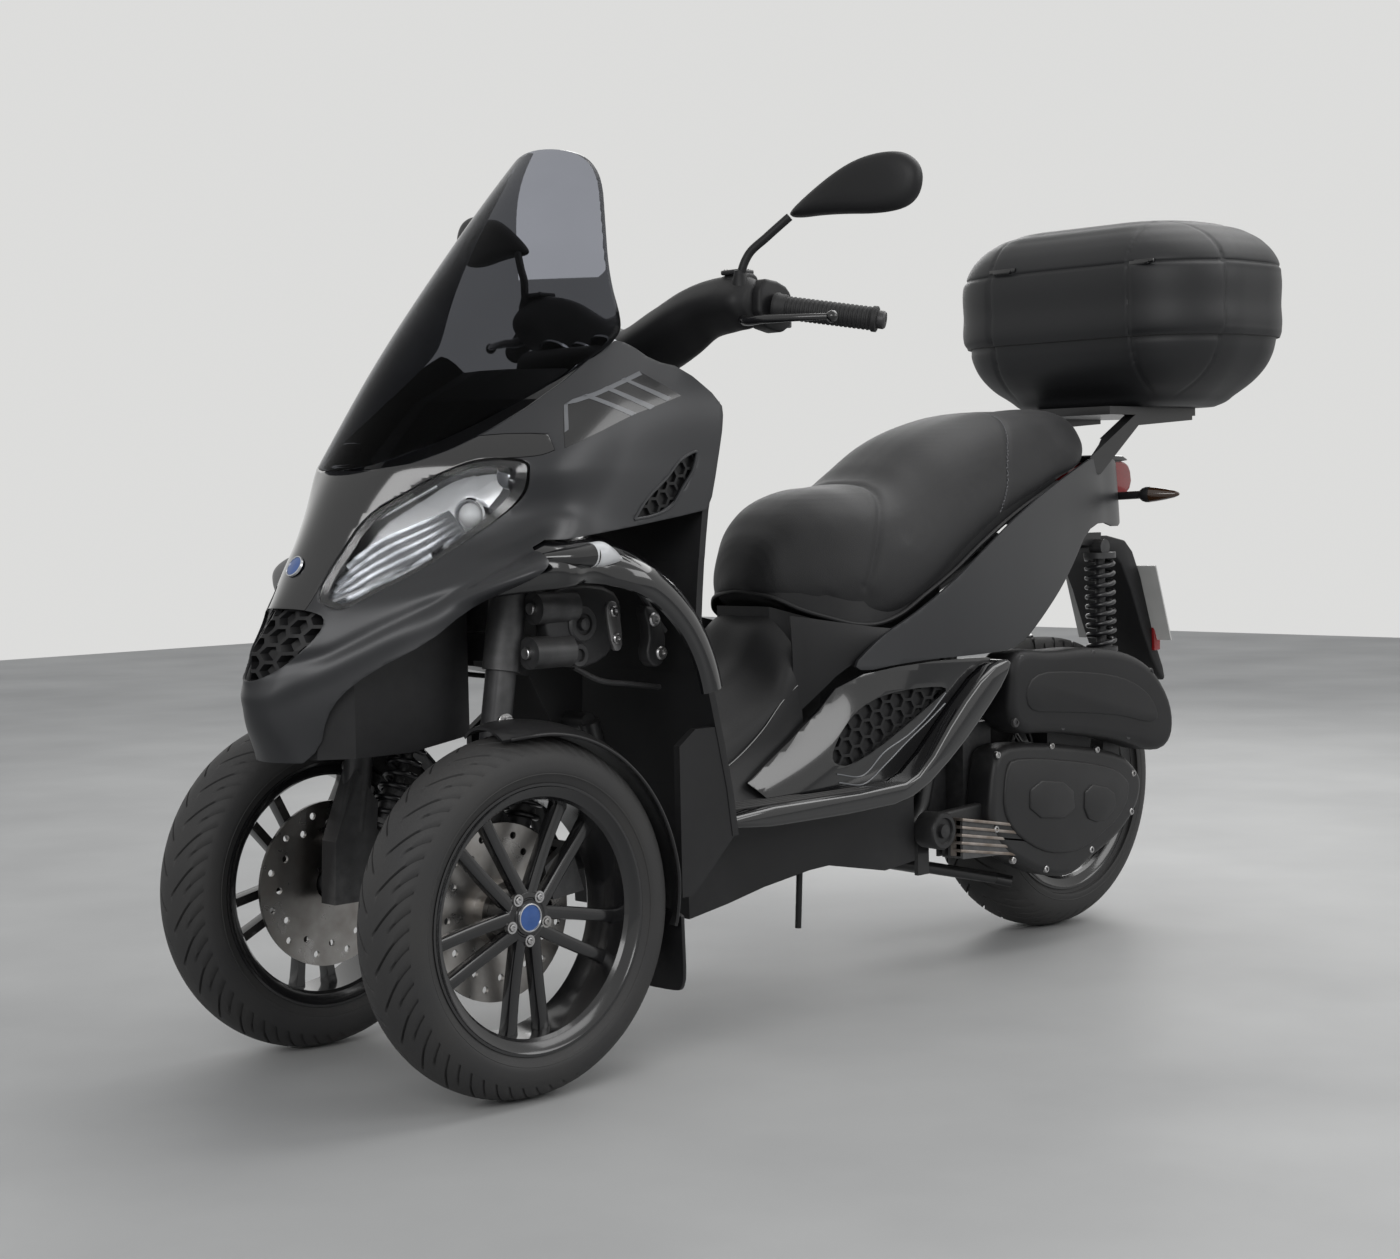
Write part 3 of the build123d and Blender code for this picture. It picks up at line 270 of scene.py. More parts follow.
def finish_of(
    name,
    color,
    roughness,
    shade=None,
    patch=7.0,
    spread=0.05,
    metallic=0.0,
    coat=0.0,
    coat_roughness=0.08,
    grain=None,
    worn=None,
    dust=0.0,
    sheen=0.0,
    specular=0.5,
):
    """Solid finish from the shared groups, with its own values."""
    material = bpy.data.materials.new(name)
    material.use_nodes = True
    tree = material.node_tree
    shader = tree.nodes["Principled BSDF"]
    shade = shade or tuple(0.72 * c for c in color)
    base = put_group(
        tree,
        PATCHES,
        {
            "Color": rgba(color),
            "Shade": rgba(shade),
            "Scale": patch,
            "Roughness": roughness,
            "Spread": spread,
        },
    )
    tint = base.outputs["Color"]
    if worn:
        given = {"Color": tint, "Worn": rgba(worn), "Amount": WEAR_SHARE}
        tint = put_group(tree, WEAR, given).outputs["Color"]
    if dust:
        tint = put_group(tree, DUST, {"Color": tint, "Amount": dust}).outputs["Color"]
    tree.links.new(tint, shader.inputs["Base Color"])
    tree.links.new(base.outputs["Roughness"], shader.inputs["Roughness"])
    shader.inputs["Metallic"].default_value = metallic
    shader.inputs["Coat Weight"].default_value = coat
    shader.inputs["Coat Roughness"].default_value = coat_roughness
    shader.inputs["Sheen Weight"].default_value = sheen
    shader.inputs["Specular IOR Level"].default_value = specular
    if grain:
        scale, depth = grain
        height = put_group(tree, GRAIN, {"Scale": scale})
        bump = tree.nodes.new("ShaderNodeBump")
        bump.inputs["Strength"].default_value = 0.6
        bump.inputs["Distance"].default_value = depth
        tree.links.new(height.outputs["Height"], bump.inputs["Height"])
        tree.links.new(bump.outputs["Normal"], shader.inputs["Normal"])
    return material


def clear_finish(name, color, roughness, transmission=1.0, ior=1.45, alpha=1.0):
    """Glass-like finish: tinted where it is smoked, with faint smears."""
    material = bpy.data.materials.new(name)
    material.use_nodes = True
    tree = material.node_tree
    shader = tree.nodes["Principled BSDF"]
    base = put_group(
        tree,
        PATCHES,
        {
            "Color": rgba(color),
            "Shade": rgba(tuple(0.93 * c for c in color)),
            "Scale": 9.0,
            "Roughness": roughness,
            "Spread": roughness * 0.6,
        },
    )
    tree.links.new(base.outputs["Color"], shader.inputs["Base Color"])
    tree.links.new(base.outputs["Roughness"], shader.inputs["Roughness"])
    shader.inputs["Transmission Weight"].default_value = transmission
    shader.inputs["IOR"].default_value = ior
    shader.inputs["Alpha"].default_value = alpha
    return material


PAINT = finish_of(
    "satin black paint",
    (0.030, 0.031, 0.034),
    0.40,
    patch=2.2,
    metallic=0.35,
    coat=0.15,
    coat_roughness=0.25,
    dust=0.03,
)
GLOSS = finish_of(
    "polished black",
    (0.006, 0.006, 0.007),
    0.14,
    patch=3.0,
    spread=0.03,
    coat=0.7,
    coat_roughness=0.04,
    dust=0.015,
)
PLASTIC = finish_of(
    "grained black plastic",
    (0.0125, 0.0125, 0.0135),
    0.5,
    patch=5.0,
    grain=(1100.0, 0.00012),
    worn=(0.03, 0.03, 0.031),
    dust=0.04,
    specular=0.3,
)
CASE_PLASTIC = finish_of(
    "case plastic", (0.017, 0.0175, 0.019), 0.48, patch=3.5, grain=(1500.0, 0.00012), dust=0.04, specular=0.4
)
RUBBER = finish_of(
    "tyre rubber",
    (0.022, 0.022, 0.023),
    0.68,
    shade=(0.032, 0.031, 0.030),
    patch=10.0,
    grain=(2400.0, 0.00008),
    worn=(0.05, 0.049, 0.047),
    dust=0.10,
)
WHEEL_BLACK = finish_of(
    "wheel enamel", (0.009, 0.009, 0.010), 0.2, patch=8.0, coat=0.4, coat_roughness=0.1, dust=0.04
)
DISC_STEEL = finish_of(
    "ground disc steel",
    (0.46, 0.45, 0.44),
    0.30,
    shade=(0.30, 0.28, 0.26),
    patch=26.0,
    spread=0.12,
    metallic=1.0,
)
ALLOY = finish_of(
    "cast alloy",
    (0.30, 0.30, 0.31),
    0.44,
    shade=(0.17, 0.165, 0.16),
    patch=18.0,
    spread=0.10,
    metallic=0.85,
    grain=(700.0, 0.0002),
    worn=(0.5, 0.5, 0.5),
)
DARK_ALLOY = finish_of(
    "dark cast metal",
    (0.03, 0.03, 0.032),
    0.46,
    patch=14.0,
    spread=0.08,
    metallic=0.35,
    grain=(650.0, 0.0002),
    worn=(0.2, 0.2, 0.2),
    dust=0.2,
)
FRAME_BLACK = finish_of("frame enamel", (0.012, 0.012, 0.013), 0.38, patch=12.0, coat=0.2, dust=0.05)
SPRING_BLACK = finish_of("spring enamel", (0.016, 0.016, 0.018), 0.30, patch=20.0, coat=0.3, dust=0.04)
CHROME = finish_of("bright chrome", (0.82, 0.83, 0.85), 0.07, patch=9.0, spread=0.03, metallic=1.0)
REFLECTOR = finish_of("lamp reflector", (0.80, 0.81, 0.83), 0.3, patch=9.0, spread=0.06, metallic=0.55)
BRIGHT = finish_of("faceted reflector", (0.60, 0.61, 0.63), 0.22, patch=9.0, spread=0.06, metallic=0.96)
STEEL = finish_of("zinc steel", (0.52, 0.52, 0.53), 0.34, shade=(0.36, 0.35, 0.34), patch=40.0, metallic=1.0)
GRIP = finish_of("grip rubber", (0.012, 0.012, 0.013), 0.62, grain=(1700.0, 0.00015), dust=0.03)
VINYL = finish_of(
    "seat vinyl",
    (0.012, 0.012, 0.013),
    0.56,
    shade=(0.009, 0.009, 0.010),
    patch=4.0,
    grain=(780.0, 0.00028),
    sheen=0.06,
    dust=0.03,
    specular=0.35,
)
STITCH = finish_of("pale thread", (0.20, 0.20, 0.21), 0.7, grain=(2600.0, 0.0001))
SILVER = finish_of("silver trim", (0.62, 0.63, 0.65), 0.2, metallic=0.9, patch=20.0)
BADGE_BLUE = finish_of("enamel blue", (0.02, 0.10, 0.36), 0.18, coat=0.6, coat_roughness=0.03, patch=40.0)
PLATE_WHITE = finish_of("bare plate", (0.62, 0.62, 0.60), 0.35, patch=9.0, dust=0.2)
RED = finish_of("red lens", (0.30, 0.012, 0.014), 0.14, coat=0.6, coat_roughness=0.04, patch=30.0)
STRIPE = finish_of("stripe film", (0.010, 0.010, 0.011), 0.22, coat=0.4, patch=12.0)
# Pale grey: the flank's stripe film, and also the painted highlights along the lower vent's edges.
STRIPE_AND_HIGHLIGHT_GREY = finish_of("pale stripe film", (0.17, 0.175, 0.185), 0.3, coat=0.3, patch=12.0)
DIAL = finish_of("dial face", (0.07, 0.075, 0.085), 0.3, patch=20.0, coat=0.6)
GUARD = finish_of(
    "guard plastic", (0.011, 0.011, 0.012), 0.34, patch=6.0, grain=(1300.0, 0.00008), dust=0.05, specular=0.4
)
ENGINE_BLACK = finish_of(
    "engine enamel",
    (0.014, 0.014, 0.015),
    0.42,
    patch=16.0,
    spread=0.08,
    grain=(800.0, 0.00015),
    worn=(0.06, 0.06, 0.06),
    dust=0.08,
    specular=0.4,
)
FIN_ALLOY = finish_of(
    "weathered fins",
    (0.42, 0.38, 0.35),
    0.42,
    shade=(0.20, 0.16, 0.13),
    patch=30.0,
    spread=0.12,
    metallic=0.8,
)
SMOKED_AMBER = finish_of(
    "smoked amber lens", (0.045, 0.018, 0.006), 0.12, coat=0.6, coat_roughness=0.04, patch=20.0
)
MIRROR_GLASS = finish_of("mirror glass", (0.75, 0.77, 0.79), 0.03, metallic=1.0, patch=5.0, spread=0.01)
SCREEN = clear_finish("smoked screen", (0.085, 0.088, 0.098), 0.02, 1.0, 1.12)
LENS = clear_finish("clear lens", (0.95, 0.96, 0.97), 0.02, 1.0, 1.25, 0.3)
FROSTED = clear_finish("frosted lens", (0.86, 0.87, 0.88), 0.22, 0.25, 1.4)

# CAD nodes that are shown as they are; dressed pieces stand for all the others
bare_nodes = (
    (
        PLASTIC,
        ("inner_liner", "nose_grille", "vent_grilles", "leg_shield", "dashboard", "belly", "storage_bin"),
    ),
    (DARK_ALLOY, ("engine", "tilt_arms", "knuckle_left", "knuckle_right")),
    (FRAME_BLACK, ("exhaust", "frame", "rack", "centre_stand")),
    (DISC_STEEL, ("disc_left", "disc_right")),
    (PLATE_WHITE, ("number_plate",)),
)
for material, node in [(material, node) for material, nodes in bare_nodes for node in nodes]:
    data = frame["nodes"][node].data
    data.materials.clear()
    data.materials.append(material)
    data.shade_smooth()
    data.set_sharp_from_angle(angle=math.radians(28))


# Mesh helpers


def spline(points, count, knots=None):
    """Smooth line through the points, evenly sampled along its knots."""
    p = np.asarray(points, float)
    if knots is None:
        steps = np.linalg.norm(np.diff(p, axis=0), axis=1) + 1e-9
        knots = np.concatenate([[0.0], np.cumsum(steps)])
    t = np.asarray(knots, float)
    gap = np.diff(t)
    slope = np.diff(p, axis=0) / gap[:, None]
    middle = slope[:-1] * gap[1:, None] + slope[1:] * gap[:-1, None]
    middle = middle / (gap[:-1] + gap[1:])[:, None]
    tangent = np.vstack([slope[:1], middle, slope[-1:]])
    s = np.linspace(t[0], t[-1], count)
    k = np.clip(np.searchsorted(t, s, side="right") - 1, 0, len(p) - 2)
    h = gap[k][:, None]
    u = ((s - t[k]) / gap[k])[:, None]
    return (
        p[k] * (2 * u**3 - 3 * u**2 + 1)
        + p[k + 1] * (3 * u**2 - 2 * u**3)
        + tangent[k] * h * (u**3 - 2 * u**2 + u)
        + tangent[k + 1] * h * (u**3 - u**2)
    )


def softened(points, rounds=2):
    """Closed outline with its corners cut in turn, so that it reads as a curve."""
    p = np.asarray(points, float)
    for _ in range(rounds):
        after = np.roll(p, -1, axis=0)
        pairs = np.stack([0.75 * p + 0.25 * after, 0.25 * p + 0.75 * after], axis=1)
        p = pairs.reshape(-1, p.shape[1])
    return p


def grid_faces(rows, columns, around=False, along=False):
    """Quads of a grid; around closes the columns and along closes the rows."""
    faces = []
    for r in range(rows if along else rows - 1):
        for c in range(columns if around else columns - 1):
            up, right = (r + 1) % rows, (c + 1) % columns
            faces.append((r * columns + c, r * columns + right, up * columns + right, up * columns + c))
    return faces


def bare_mesh(name, points, faces):
    data = bpy.data.meshes.new(name)
    data.from_pydata([tuple(p) for p in place(points)], [], [tuple(int(i) for i in f) for f in faces])
    work = bmesh.new()
    work.from_mesh(data)
    bmesh.ops.remove_doubles(work, verts=work.verts, dist=2e-6)
    bmesh.ops.recalc_face_normals(work, faces=work.faces)
    work.to_mesh(data)
    work.free()
    obj = bpy.data.objects.new(name, data)
    bpy.context.scene.collection.objects.link(obj)
    return obj


def loft(name, rings, first_reversed=False):
    """Closed skin through equal rings, with a flat cap at both ends."""
    total, count = len(rings), len(rings[0])
    first = tuple(range(count))
    last = tuple((total - 1) * count + i for i in range(count))
    caps = [first[::-1], last] if first_reversed else [first, last[::-1]]
    return bare_mesh(name, np.vstack(rings), grid_faces(total, count, around=True) + caps)


def grid_normals(grid, least=0.0):
    """Unit normals of a grid; least keeps a folded row from dividing by nothing."""
    normal = np.cross(np.gradient(grid, axis=1), np.gradient(grid, axis=0))
    return normal / (np.linalg.norm(normal, axis=2, keepdims=True) + least)


def dress(obj, material, body="root", replaces=(), angle=35):
    """Finish a piece: smooth shading, material and body."""
    obj.data.materials.clear()
    obj.data.materials.append(material)
    obj.data.shade_smooth()
    obj.data.set_sharp_from_angle(angle=math.radians(angle))
    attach(obj, body)
    if replaces:
        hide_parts(*replaces)
    return obj


def applied(obj):
    """Bake the modifiers into the mesh."""
    graph = bpy.context.evaluated_depsgraph_get()
    graph.update()
    data = bpy.data.meshes.new_from_object(obj.evaluated_get(graph))
    obj.modifiers.clear()
    old = obj.data
    obj.data = data
    bpy.data.meshes.remove(old)
    return obj


def carve(obj, cutters, operation="DIFFERENCE"):
    """Boolean with each cutter in turn; the cutters go."""
    for cutter in cutters:
        step = obj.modifiers.new("carve", "BOOLEAN")
        step.solver = "EXACT"
        step.operation = operation
        step.object = cutter
        applied(obj)
        bpy.data.objects.remove(cutter)
    return obj


def outline_solid(outline, low, high, along, name="cutter"):
    """Prism of an outline along one axis: x takes (y, z), y takes (x, z), z takes (x, y)."""
    flat = np.asarray(outline, float)
    ends = []
    for level in (low, high):
        column = np.full((len(flat), 1), float(level))
        if along == "x":
            ends.append(np.hstack([column, flat]))
        elif along == "y":
            ends.append(np.hstack([flat[:, :1], column, flat[:, 1:]]))
        else:
            ends.append(np.hstack([flat, column]))
    return loft(name, ends, first_reversed=True)


def sheet_solid(name, grid, wall):
    """Closed thin shell: the grid's surface and one a wall further in along its normals."""
    rows, columns, _ = grid.shape
    inner = grid - grid_normals(grid, 1e-12) * wall
    points = np.vstack([grid.reshape(-1, 3), inner.reshape(-1, 3)])
    front = grid_faces(rows, columns)
    shift = rows * columns
    back = [tuple(i + shift for i in reversed(f)) for f in front]
    rim = [r * columns for r in range(rows)]
    rim_right = [r * columns + columns - 1 for r in range(rows)]
    low, high = list(range(columns)), [shift - columns + c for c in range(columns)]
    sides = []
    for line in (rim, rim_right, low, high):
        sides += [(a, b, b + shift, a + shift) for a, b in zip(line[:-1], line[1:])]
    return bare_mesh(name, points, front + back + sides)


def turned(name, profile, centre, segments=96):
    """Surface turned about a line along x from (along, radius) points."""
    along, radius = np.asarray(profile, float).T
    angle = np.linspace(0, 2 * math.pi, segments, endpoint=False)[:, None]
    flat = np.broadcast_arrays(along[None, :], radius * np.cos(angle), radius * np.sin(angle))
    ring = np.stack(flat, axis=2)
    points = ring.reshape(-1, 3) + np.array(centre, float)
    return bare_mesh(name, points, grid_faces(segments, len(profile), around=True, along=True))


def tube_mesh(name, line, radius, sides=12, cap=True):
    """Round tube along a line of points; radius may be one value or one for each point."""
    p = np.asarray(line, float)
    count = len(p)
    radii = np.broadcast_to(np.asarray(radius, float), (count,))
    tangent = np.gradient(p, axis=0)
    tangent /= np.linalg.norm(tangent, axis=1, keepdims=True) + 1e-12
    side = np.array([0.0, 0.0, 1.0]) if abs(tangent[0][2]) < 0.9 else np.array([1.0, 0.0, 0.0])
    rings = []
    angle = np.linspace(0, 2 * math.pi, sides, endpoint=False)
    for point, direction, r in zip(p, tangent, radii):
        side = side - direction * (side @ direction)
        side /= np.linalg.norm(side) + 1e-12
        other = np.cross(direction, side)
        rings.append(point + r * (np.cos(angle)[:, None] * side + np.sin(angle)[:, None] * other))
    if cap:
        return loft(name, rings)
    return bare_mesh(name, np.vstack(rings), grid_faces(count, sides, around=True))


def joined(name, pieces):
    """One object from several meshes."""
    work = bmesh.new()
    for piece in pieces:
        piece.data.transform(piece.matrix_world)
        work.from_mesh(piece.data)
        bpy.data.objects.remove(piece)
    data = bpy.data.meshes.new(name)
    work.to_mesh(data)
    work.free()
    obj = bpy.data.objects.new(name, data)
    bpy.context.scene.collection.objects.link(obj)
    return obj


def other_side(obj, name):
    """Mirror image across the middle plane."""
    data = obj.data.copy()
    data.transform(Matrix.Diagonal((-1, 1, 1, 1)))
    data.flip_normals()
    copy = bpy.data.objects.new(name, data)
    bpy.context.scene.collection.objects.link(copy)
    return copy


def rounded_block(name, low, high, radius, segments=3):
    """Box between two corners with rounded edges."""
    (x0, y0, z0), (x1, y1, z1) = low, high
    corners = [(x, y, z) for z in (z0, z1) for y in (y0, y1) for x in (x0, x1)]
    faces = [(0, 1, 3, 2), (4, 6, 7, 5), (0, 4, 5, 1), (2, 3, 7, 6), (0, 2, 6, 4), (1, 5, 7, 3)]
    obj = bare_mesh(name, corners, faces)
    return bevelled(obj, radius, segments)


def bevelled(obj, radius, segments=2, angle=30):
    """Rounded edges, baked in. Radius in millimetres."""
    step = obj.modifiers.new("round", "BEVEL")
    step.width = radius / 1000
    step.segments = segments
    step.limit_method = "ANGLE"
    step.angle_limit = math.radians(angle)
    return applied(obj)


def moulding(outline, ends, radius, segments, name="moulding"):
    """Side outline made solid between two x values, in either order, with rounded edges."""
    low, high = sorted(ends)
    return bevelled(outline_solid(outline, low, high, "x", name), radius, segments)


# Tyres: a round crown with slanting grooves cut as steps in the mesh

GROOVE_PHASES = (0.0, 0.035, 0.085, 0.12, 0.31, 0.5, 0.535, 0.585, 0.62, 0.81)
GROOVE_DEPTHS = (0, 1, 1, 0, 0, 0, 1, 1, 0, 0)
GROOVE_BEND = 1.15
TYRE_RING_POINTS = 121


def tyre_piece(name, x, y, radius, width, bead, pitches, lean, body):
    """Tyre with its tread; lean is how far a groove runs round, counted in pitches."""
    half = width / 2
    quarter = [
        (0.0, radius),
        (0.22 * half, radius - 0.006 * width),
        (0.45 * half, radius - 0.032 * width),
        (0.66 * half, radius - 0.078 * width),
        (0.82 * half, radius - 0.140 * width),
        (0.93 * half, radius - 0.215 * width),
        (1.00 * half, radius - 0.34 * width),
        (0.985 * half, radius - 0.44 * width),
        (0.93 * half, bead + 0.20 * width),
        (0.86 * half, bead + 0.13 * width),
        (0.79 * half, bead + 0.035 * width),
        (0.77 * half, bead + 0.6),
    ]
    outer = spline(quarter, 44)
    across = np.vstack([outer[::-1] * [-1, 1], outer[1:]])
    rows = len(across)
    share = np.clip(np.abs(across[:, 0]) / half, 0, 1)
    on_tread = (across[:, 1] > radius - 0.20 * width).astype(float)
    phases = np.array([turn + p for turn in range(pitches) for p in GROOVE_PHASES]) / pitches
    depths = np.tile(GROOVE_DEPTHS, pitches)
    second = np.tile([0] * 5 + [1] * 5, pitches)
    sign = np.sign(across[:, 0])
    points = []
    depth = 0.034 * width
    for phase, deep, late in zip(phases, depths, second):
        sweep = lean * share**GROOVE_BEND / pitches
        angle = 2 * math.pi * (phase + sweep)
        starts = np.where((sign > 0) == bool(late), 0.10, 0.52)
        grooved = deep * on_tread * np.clip((share - starts) / 0.05, 0, 1)
        grooved = grooved * np.clip((1.02 - share) / 0.08, 0.35, 1)
        r = across[:, 1] - depth * grooved
        ring = [x + across[:, 0], y + r * np.sin(angle), radius + r * np.cos(angle)]
        points.append(np.stack(ring, axis=1))
    faces = grid_faces(len(phases), rows, along=True)
    for index in range(len(phases)):
        here, after = index * rows, (index + 1) % len(phases) * rows
        faces.append((here, after, after + rows - 1, here + rows - 1))
    obj = bare_mesh(name, np.array(points).reshape(-1, 3), faces)
    rings = []
    for side in (-1, 1):
        for ring_radius in (radius - 0.45 * width, bead + 0.235 * width):
            bulge = np.interp(ring_radius, across[rows // 2 :, 1][::-1], across[rows // 2 :, 0][::-1])
            circle = np.linspace(0, 2 * math.pi, TYRE_RING_POINTS)
            line = np.stack(
                [
                    np.full(TYRE_RING_POINTS, x + side * (bulge - 0.4)),
                    y + ring_radius * np.cos(circle),
                    radius + ring_radius * np.sin(circle),
                ],
                axis=1,
            )
            rings.append(tube_mesh("ring", line, 1.1, 6, cap=False))
    obj = joined(name, [obj] + rings)
    return dress(obj, RUBBER, body, (name.replace("_dressed", ""),), angle=50)


for side, label in ((1, "left"), (-1, "right")):
    name, body = f"tyre_front_{label}_dressed", f"wheel_front_{label}"
    tyre_piece(name, side * WHEEL_X, 0, FRONT_RADIUS, FRONT_WIDTH, FRONT_BEAD, 30, 1.5, body)
tyre_piece("tyre_rear_dressed", 0, REAR_Y, REAR_RADIUS, REAR_WIDTH, REAR_BEAD, 28, -1.5, "wheel_rear")


# Wheels: barrel with a lip, five twin spokes, hub with five bolts and a plain disc


SPOKES = 5
SPOKE_START, BOLT_CIRCLE = 270, 31
SPOKE_STATIONS = 9


def rim_piece(name, side, x, y, radius, bead, width, body, node):
    edge = width * 0.40 + 5.0
    lip = bead + 14.0
    barrel = [
        (-edge, lip),
        (-edge + 2.6, lip),
        (-edge + 4.6, bead + 6),
        (-edge + 10, bead + 0.5),
        (-edge + 24, bead - 4),
        (edge - 24, bead - 4),
        (edge - 10, bead + 0.5),
        (edge - 4.6, bead + 6),
        (edge - 2.6, lip),
        (edge, lip),
        (edge, lip - 3.5),
        (edge - 3.0, lip - 6),
        (edge - 7, bead - 4),
        (edge - 12, bead - 8.0),
        (edge - 30, bead - 9.5),
        (-edge + 30, bead - 9.5),
        (-edge + 12, bead - 8.0),
        (-edge + 7, bead - 4),
        (-edge + 3.0, lip - 6),
        (-edge, lip - 3.5),
    ]
    centre = (x, y, radius)
    parts = [turned("barrel", barrel, centre, 120)]
    face = side * 24.0
    hub = [
        (-20, 1),
        (-20, 36),
        (10, 38),
        (19, 37),
        (23, 33),
        (24, 27),
        (22.5, 25.5),
        (22.5, 24),
        (24.2, 23),
        (24.2, 1),
    ]
    parts.append(turned("hub", [(side * a, r) for a, r in hub], centre, 60))
    reach = bead - 7.0
    for turn in range(SPOKES):
        base = math.radians(SPOKE_START + 360 / SPOKES * turn)
        for lean in (-1, 1):
            stations = []
            for s in np.linspace(0, 1, SPOKE_STATIONS):
                u = 27 + (reach - 27) * s
                off = lean * (11.5 + 17.5 * s**0.9)
                half = 9.4 - 0.8 * s + 2.6 * max(0.0, s - 0.86) / 0.14
                front = face - side * (1.0 + 4.5 * s + 2.5 * math.sin(math.pi * s))
                back = face - side * (21.0 + 6.0 * s)
                section = []
                for depth, spread in (
                    (back, -0.72),
                    (back, 0.72),
                    (front - side * 4.5, 1.0),
                    (front - side * 1.2, 0.86),
                    (front, 0.55),
                    (front, -0.55),
                    (front - side * 1.2, -0.86),
                    (front - side * 4.5, -1.0),
                ):
                    v = off + half * spread
                    section.append(
                        (
                            x + depth,
                            y + u * math.cos(base) - v * math.sin(base),
                            radius + u * math.sin(base) + v * math.cos(base),
                        )
                    )
                stations.append(section)
            parts.append(loft("spoke", stations))
    dress(joined(name, parts), WHEEL_BLACK, body, (node,), angle=32)
    bolts = []
    for turn in range(SPOKES):
        angle = math.radians(SPOKE_START + 360 / SPOKES * turn)
        spot = (x + face, y + BOLT_CIRCLE * math.cos(angle), radius + BOLT_CIRCLE * math.sin(angle))
        seat_ring = [(-6, 8.0), (-6, 5.4), (0.5, 5.4), (0.5, 8.0)]
        head = [(-4, 0.2), (-4, 4.6), (2.0, 4.6), (2.6, 3.8), (2.6, 2.6), (0.6, 2.4), (0.6, 0.2)]
        bolts.append(turned("ring", [(side * a, r) for a, r in seat_ring], spot, 24))
        bolts.append(turned("bolt", [(side * a, r) for a, r in head], spot, 18))
    dress(joined(name + "_bolts", bolts), STEEL, body, angle=30)
    ring = [(24.0, 19.5), (27.0, 19.0), (27.4, 17.4), (26.2, 16.6), (24.0, 16.6)]
    disc = [(24.0, 16.7), (26.0, 16.7), (26.3, 15), (26.6, 0.2), (24.0, 0.2)]
    dress(turned(name + "_badge_ring", [(side * a, r) for a, r in ring], centre, 48), SILVER, body)
    dress(turned(name + "_badge", [(side * a, r) for a, r in disc], centre, 48), BADGE_BLUE, body)


for side, label in ((1, "left"), (-1, "right")):
    name, body, node = f"wheel_{label}_dressed", f"wheel_front_{label}", f"rim_front_{label}"
    rim_piece(name, side, side * WHEEL_X, 0, FRONT_RADIUS, FRONT_BEAD, FRONT_WIDTH, body, node)
rim_piece("wheel_rear_dressed", 1, 0, REAR_Y, REAR_RADIUS, REAR_BEAD, REAR_WIDTH, "wheel_rear", "rim_rear")


# Front body: one smooth form through the design's levels, cut where the panels meet

COWL_LEVELS = [
    (452, [(0, -229), (34, -222), (62, -196), (70, -150), (71, 60), (72, 240), (73, 400)]),
    (545, [(0, -256), (30, -243), (64, -205), (120, -147), (190, -78), (228, 120), (230, 400)]),
    (600, [(0, -253), (42, -226), (80, -183), (140, -126), (200, -66), (236, 120), (237, 400)]),
    (650, [(0, -212), (48, -190), (90, -156), (165, -95), (215, -48), (240, 120), (238, 400)]),
    (706, [(0, -176), (60, -152), (140, -72), (220, -22), (296, 6), (252, 130), (239, 400)]),
    (733, [(0, -161), (60, -136), (140, -56), (205, 8), (264, 44), (248, 140), (239, 400)]),
    (762, [(0, -145), (60, -122), (140, -44), (200, 26), (238, 78), (242, 150), (240, 400)]),
    (835, [(0, -106), (60, -90), (110, -60), (180, 4), (230, 76), (238, 200), (240, 410)]),
    (925, [(0, -38), (54, -26), (110, 10), (170, 78), (210, 150), (228, 250), (236, 415)]),
    (1010, [(0, 30), (50, 42), (100, 76), (150, 130), (190, 210), (200, 330), (206, 420)]),
]


def level_grid(levels, across, up):
    """Smooth grid through half plans mirrored to both sides, listed from low to high."""
    full = []
    for z, half in levels:
        points = [(x, y, z) for x, y in half[::-1]] + [(-x, y, z) for x, y in half[1:]]
        full.append(points)
    full = np.array(full, float)
    steps = np.linalg.norm(np.diff(full, axis=1), axis=2).mean(axis=0)
    knots = np.concatenate([[0], np.cumsum(steps)])
    rows = np.array([spline(row, across, knots) for row in full])
    lift = np.linalg.norm(np.diff(rows, axis=0), axis=2).mean(axis=1)
    heights = np.concatenate([[0], np.cumsum(lift)])
    columns = [spline(rows[:, c], up, heights) for c in range(across)]
    return np.array(columns).transpose(1, 0, 2)


cowl_grid = level_grid(COWL_LEVELS, 141, 150)
cowl_normal = grid_normals(cowl_grid)
if cowl_normal[75, 70, 1] > 0:
    cowl_normal = -cowl_normal
    cowl_grid = cowl_grid[:, ::-1]
    cowl_normal = cowl_normal[:, ::-1]

RIDGE = [(0, 537), (30, 541), (80, 572), (130, 607), (185, 637), (250, 678), (320, 716)]
GROOVE = [(0, 588), (30, 576), (80, 594), (130, 629), (185, 664), (235, 701), (262, 728), (320, 760)]


def crease_lift(points):
    """Raised band below the lamps and the hollow above it, as a lift of the paint."""
    x, z = np.abs(points[:, :, 0]), points[:, :, 2]
    ridge = np.interp(x, *np.array(RIDGE, float).T)
    hollow = np.interp(x, *np.array(GROOVE, float).T)
    fade = np.clip((300 - x) / 60, 0, 1) * np.clip((140 - points[:, :, 1]) / 60, 0, 1)
    raised = 2.6 * np.exp(-(((z - ridge) / 13) ** 2))
    sunk = 3.0 * np.exp(-(((z - hollow) / 8) ** 2))
    return (raised - sunk) * fade


cowl_grid = cowl_grid + cowl_normal * crease_lift(cowl_grid)[:, :, None]
crease_du = np.gradient(cowl_grid, axis=1)
crease_dv = np.gradient(cowl_grid, axis=0)
cowl_normal = grid_normals(cowl_grid)
if cowl_normal[75, 70, 1] > 0:
    cowl_normal = -cowl_normal


def cowl_shell(name, wall, drop=0.0):
    return sheet_solid(name, cowl_grid - cowl_normal * drop, wall)


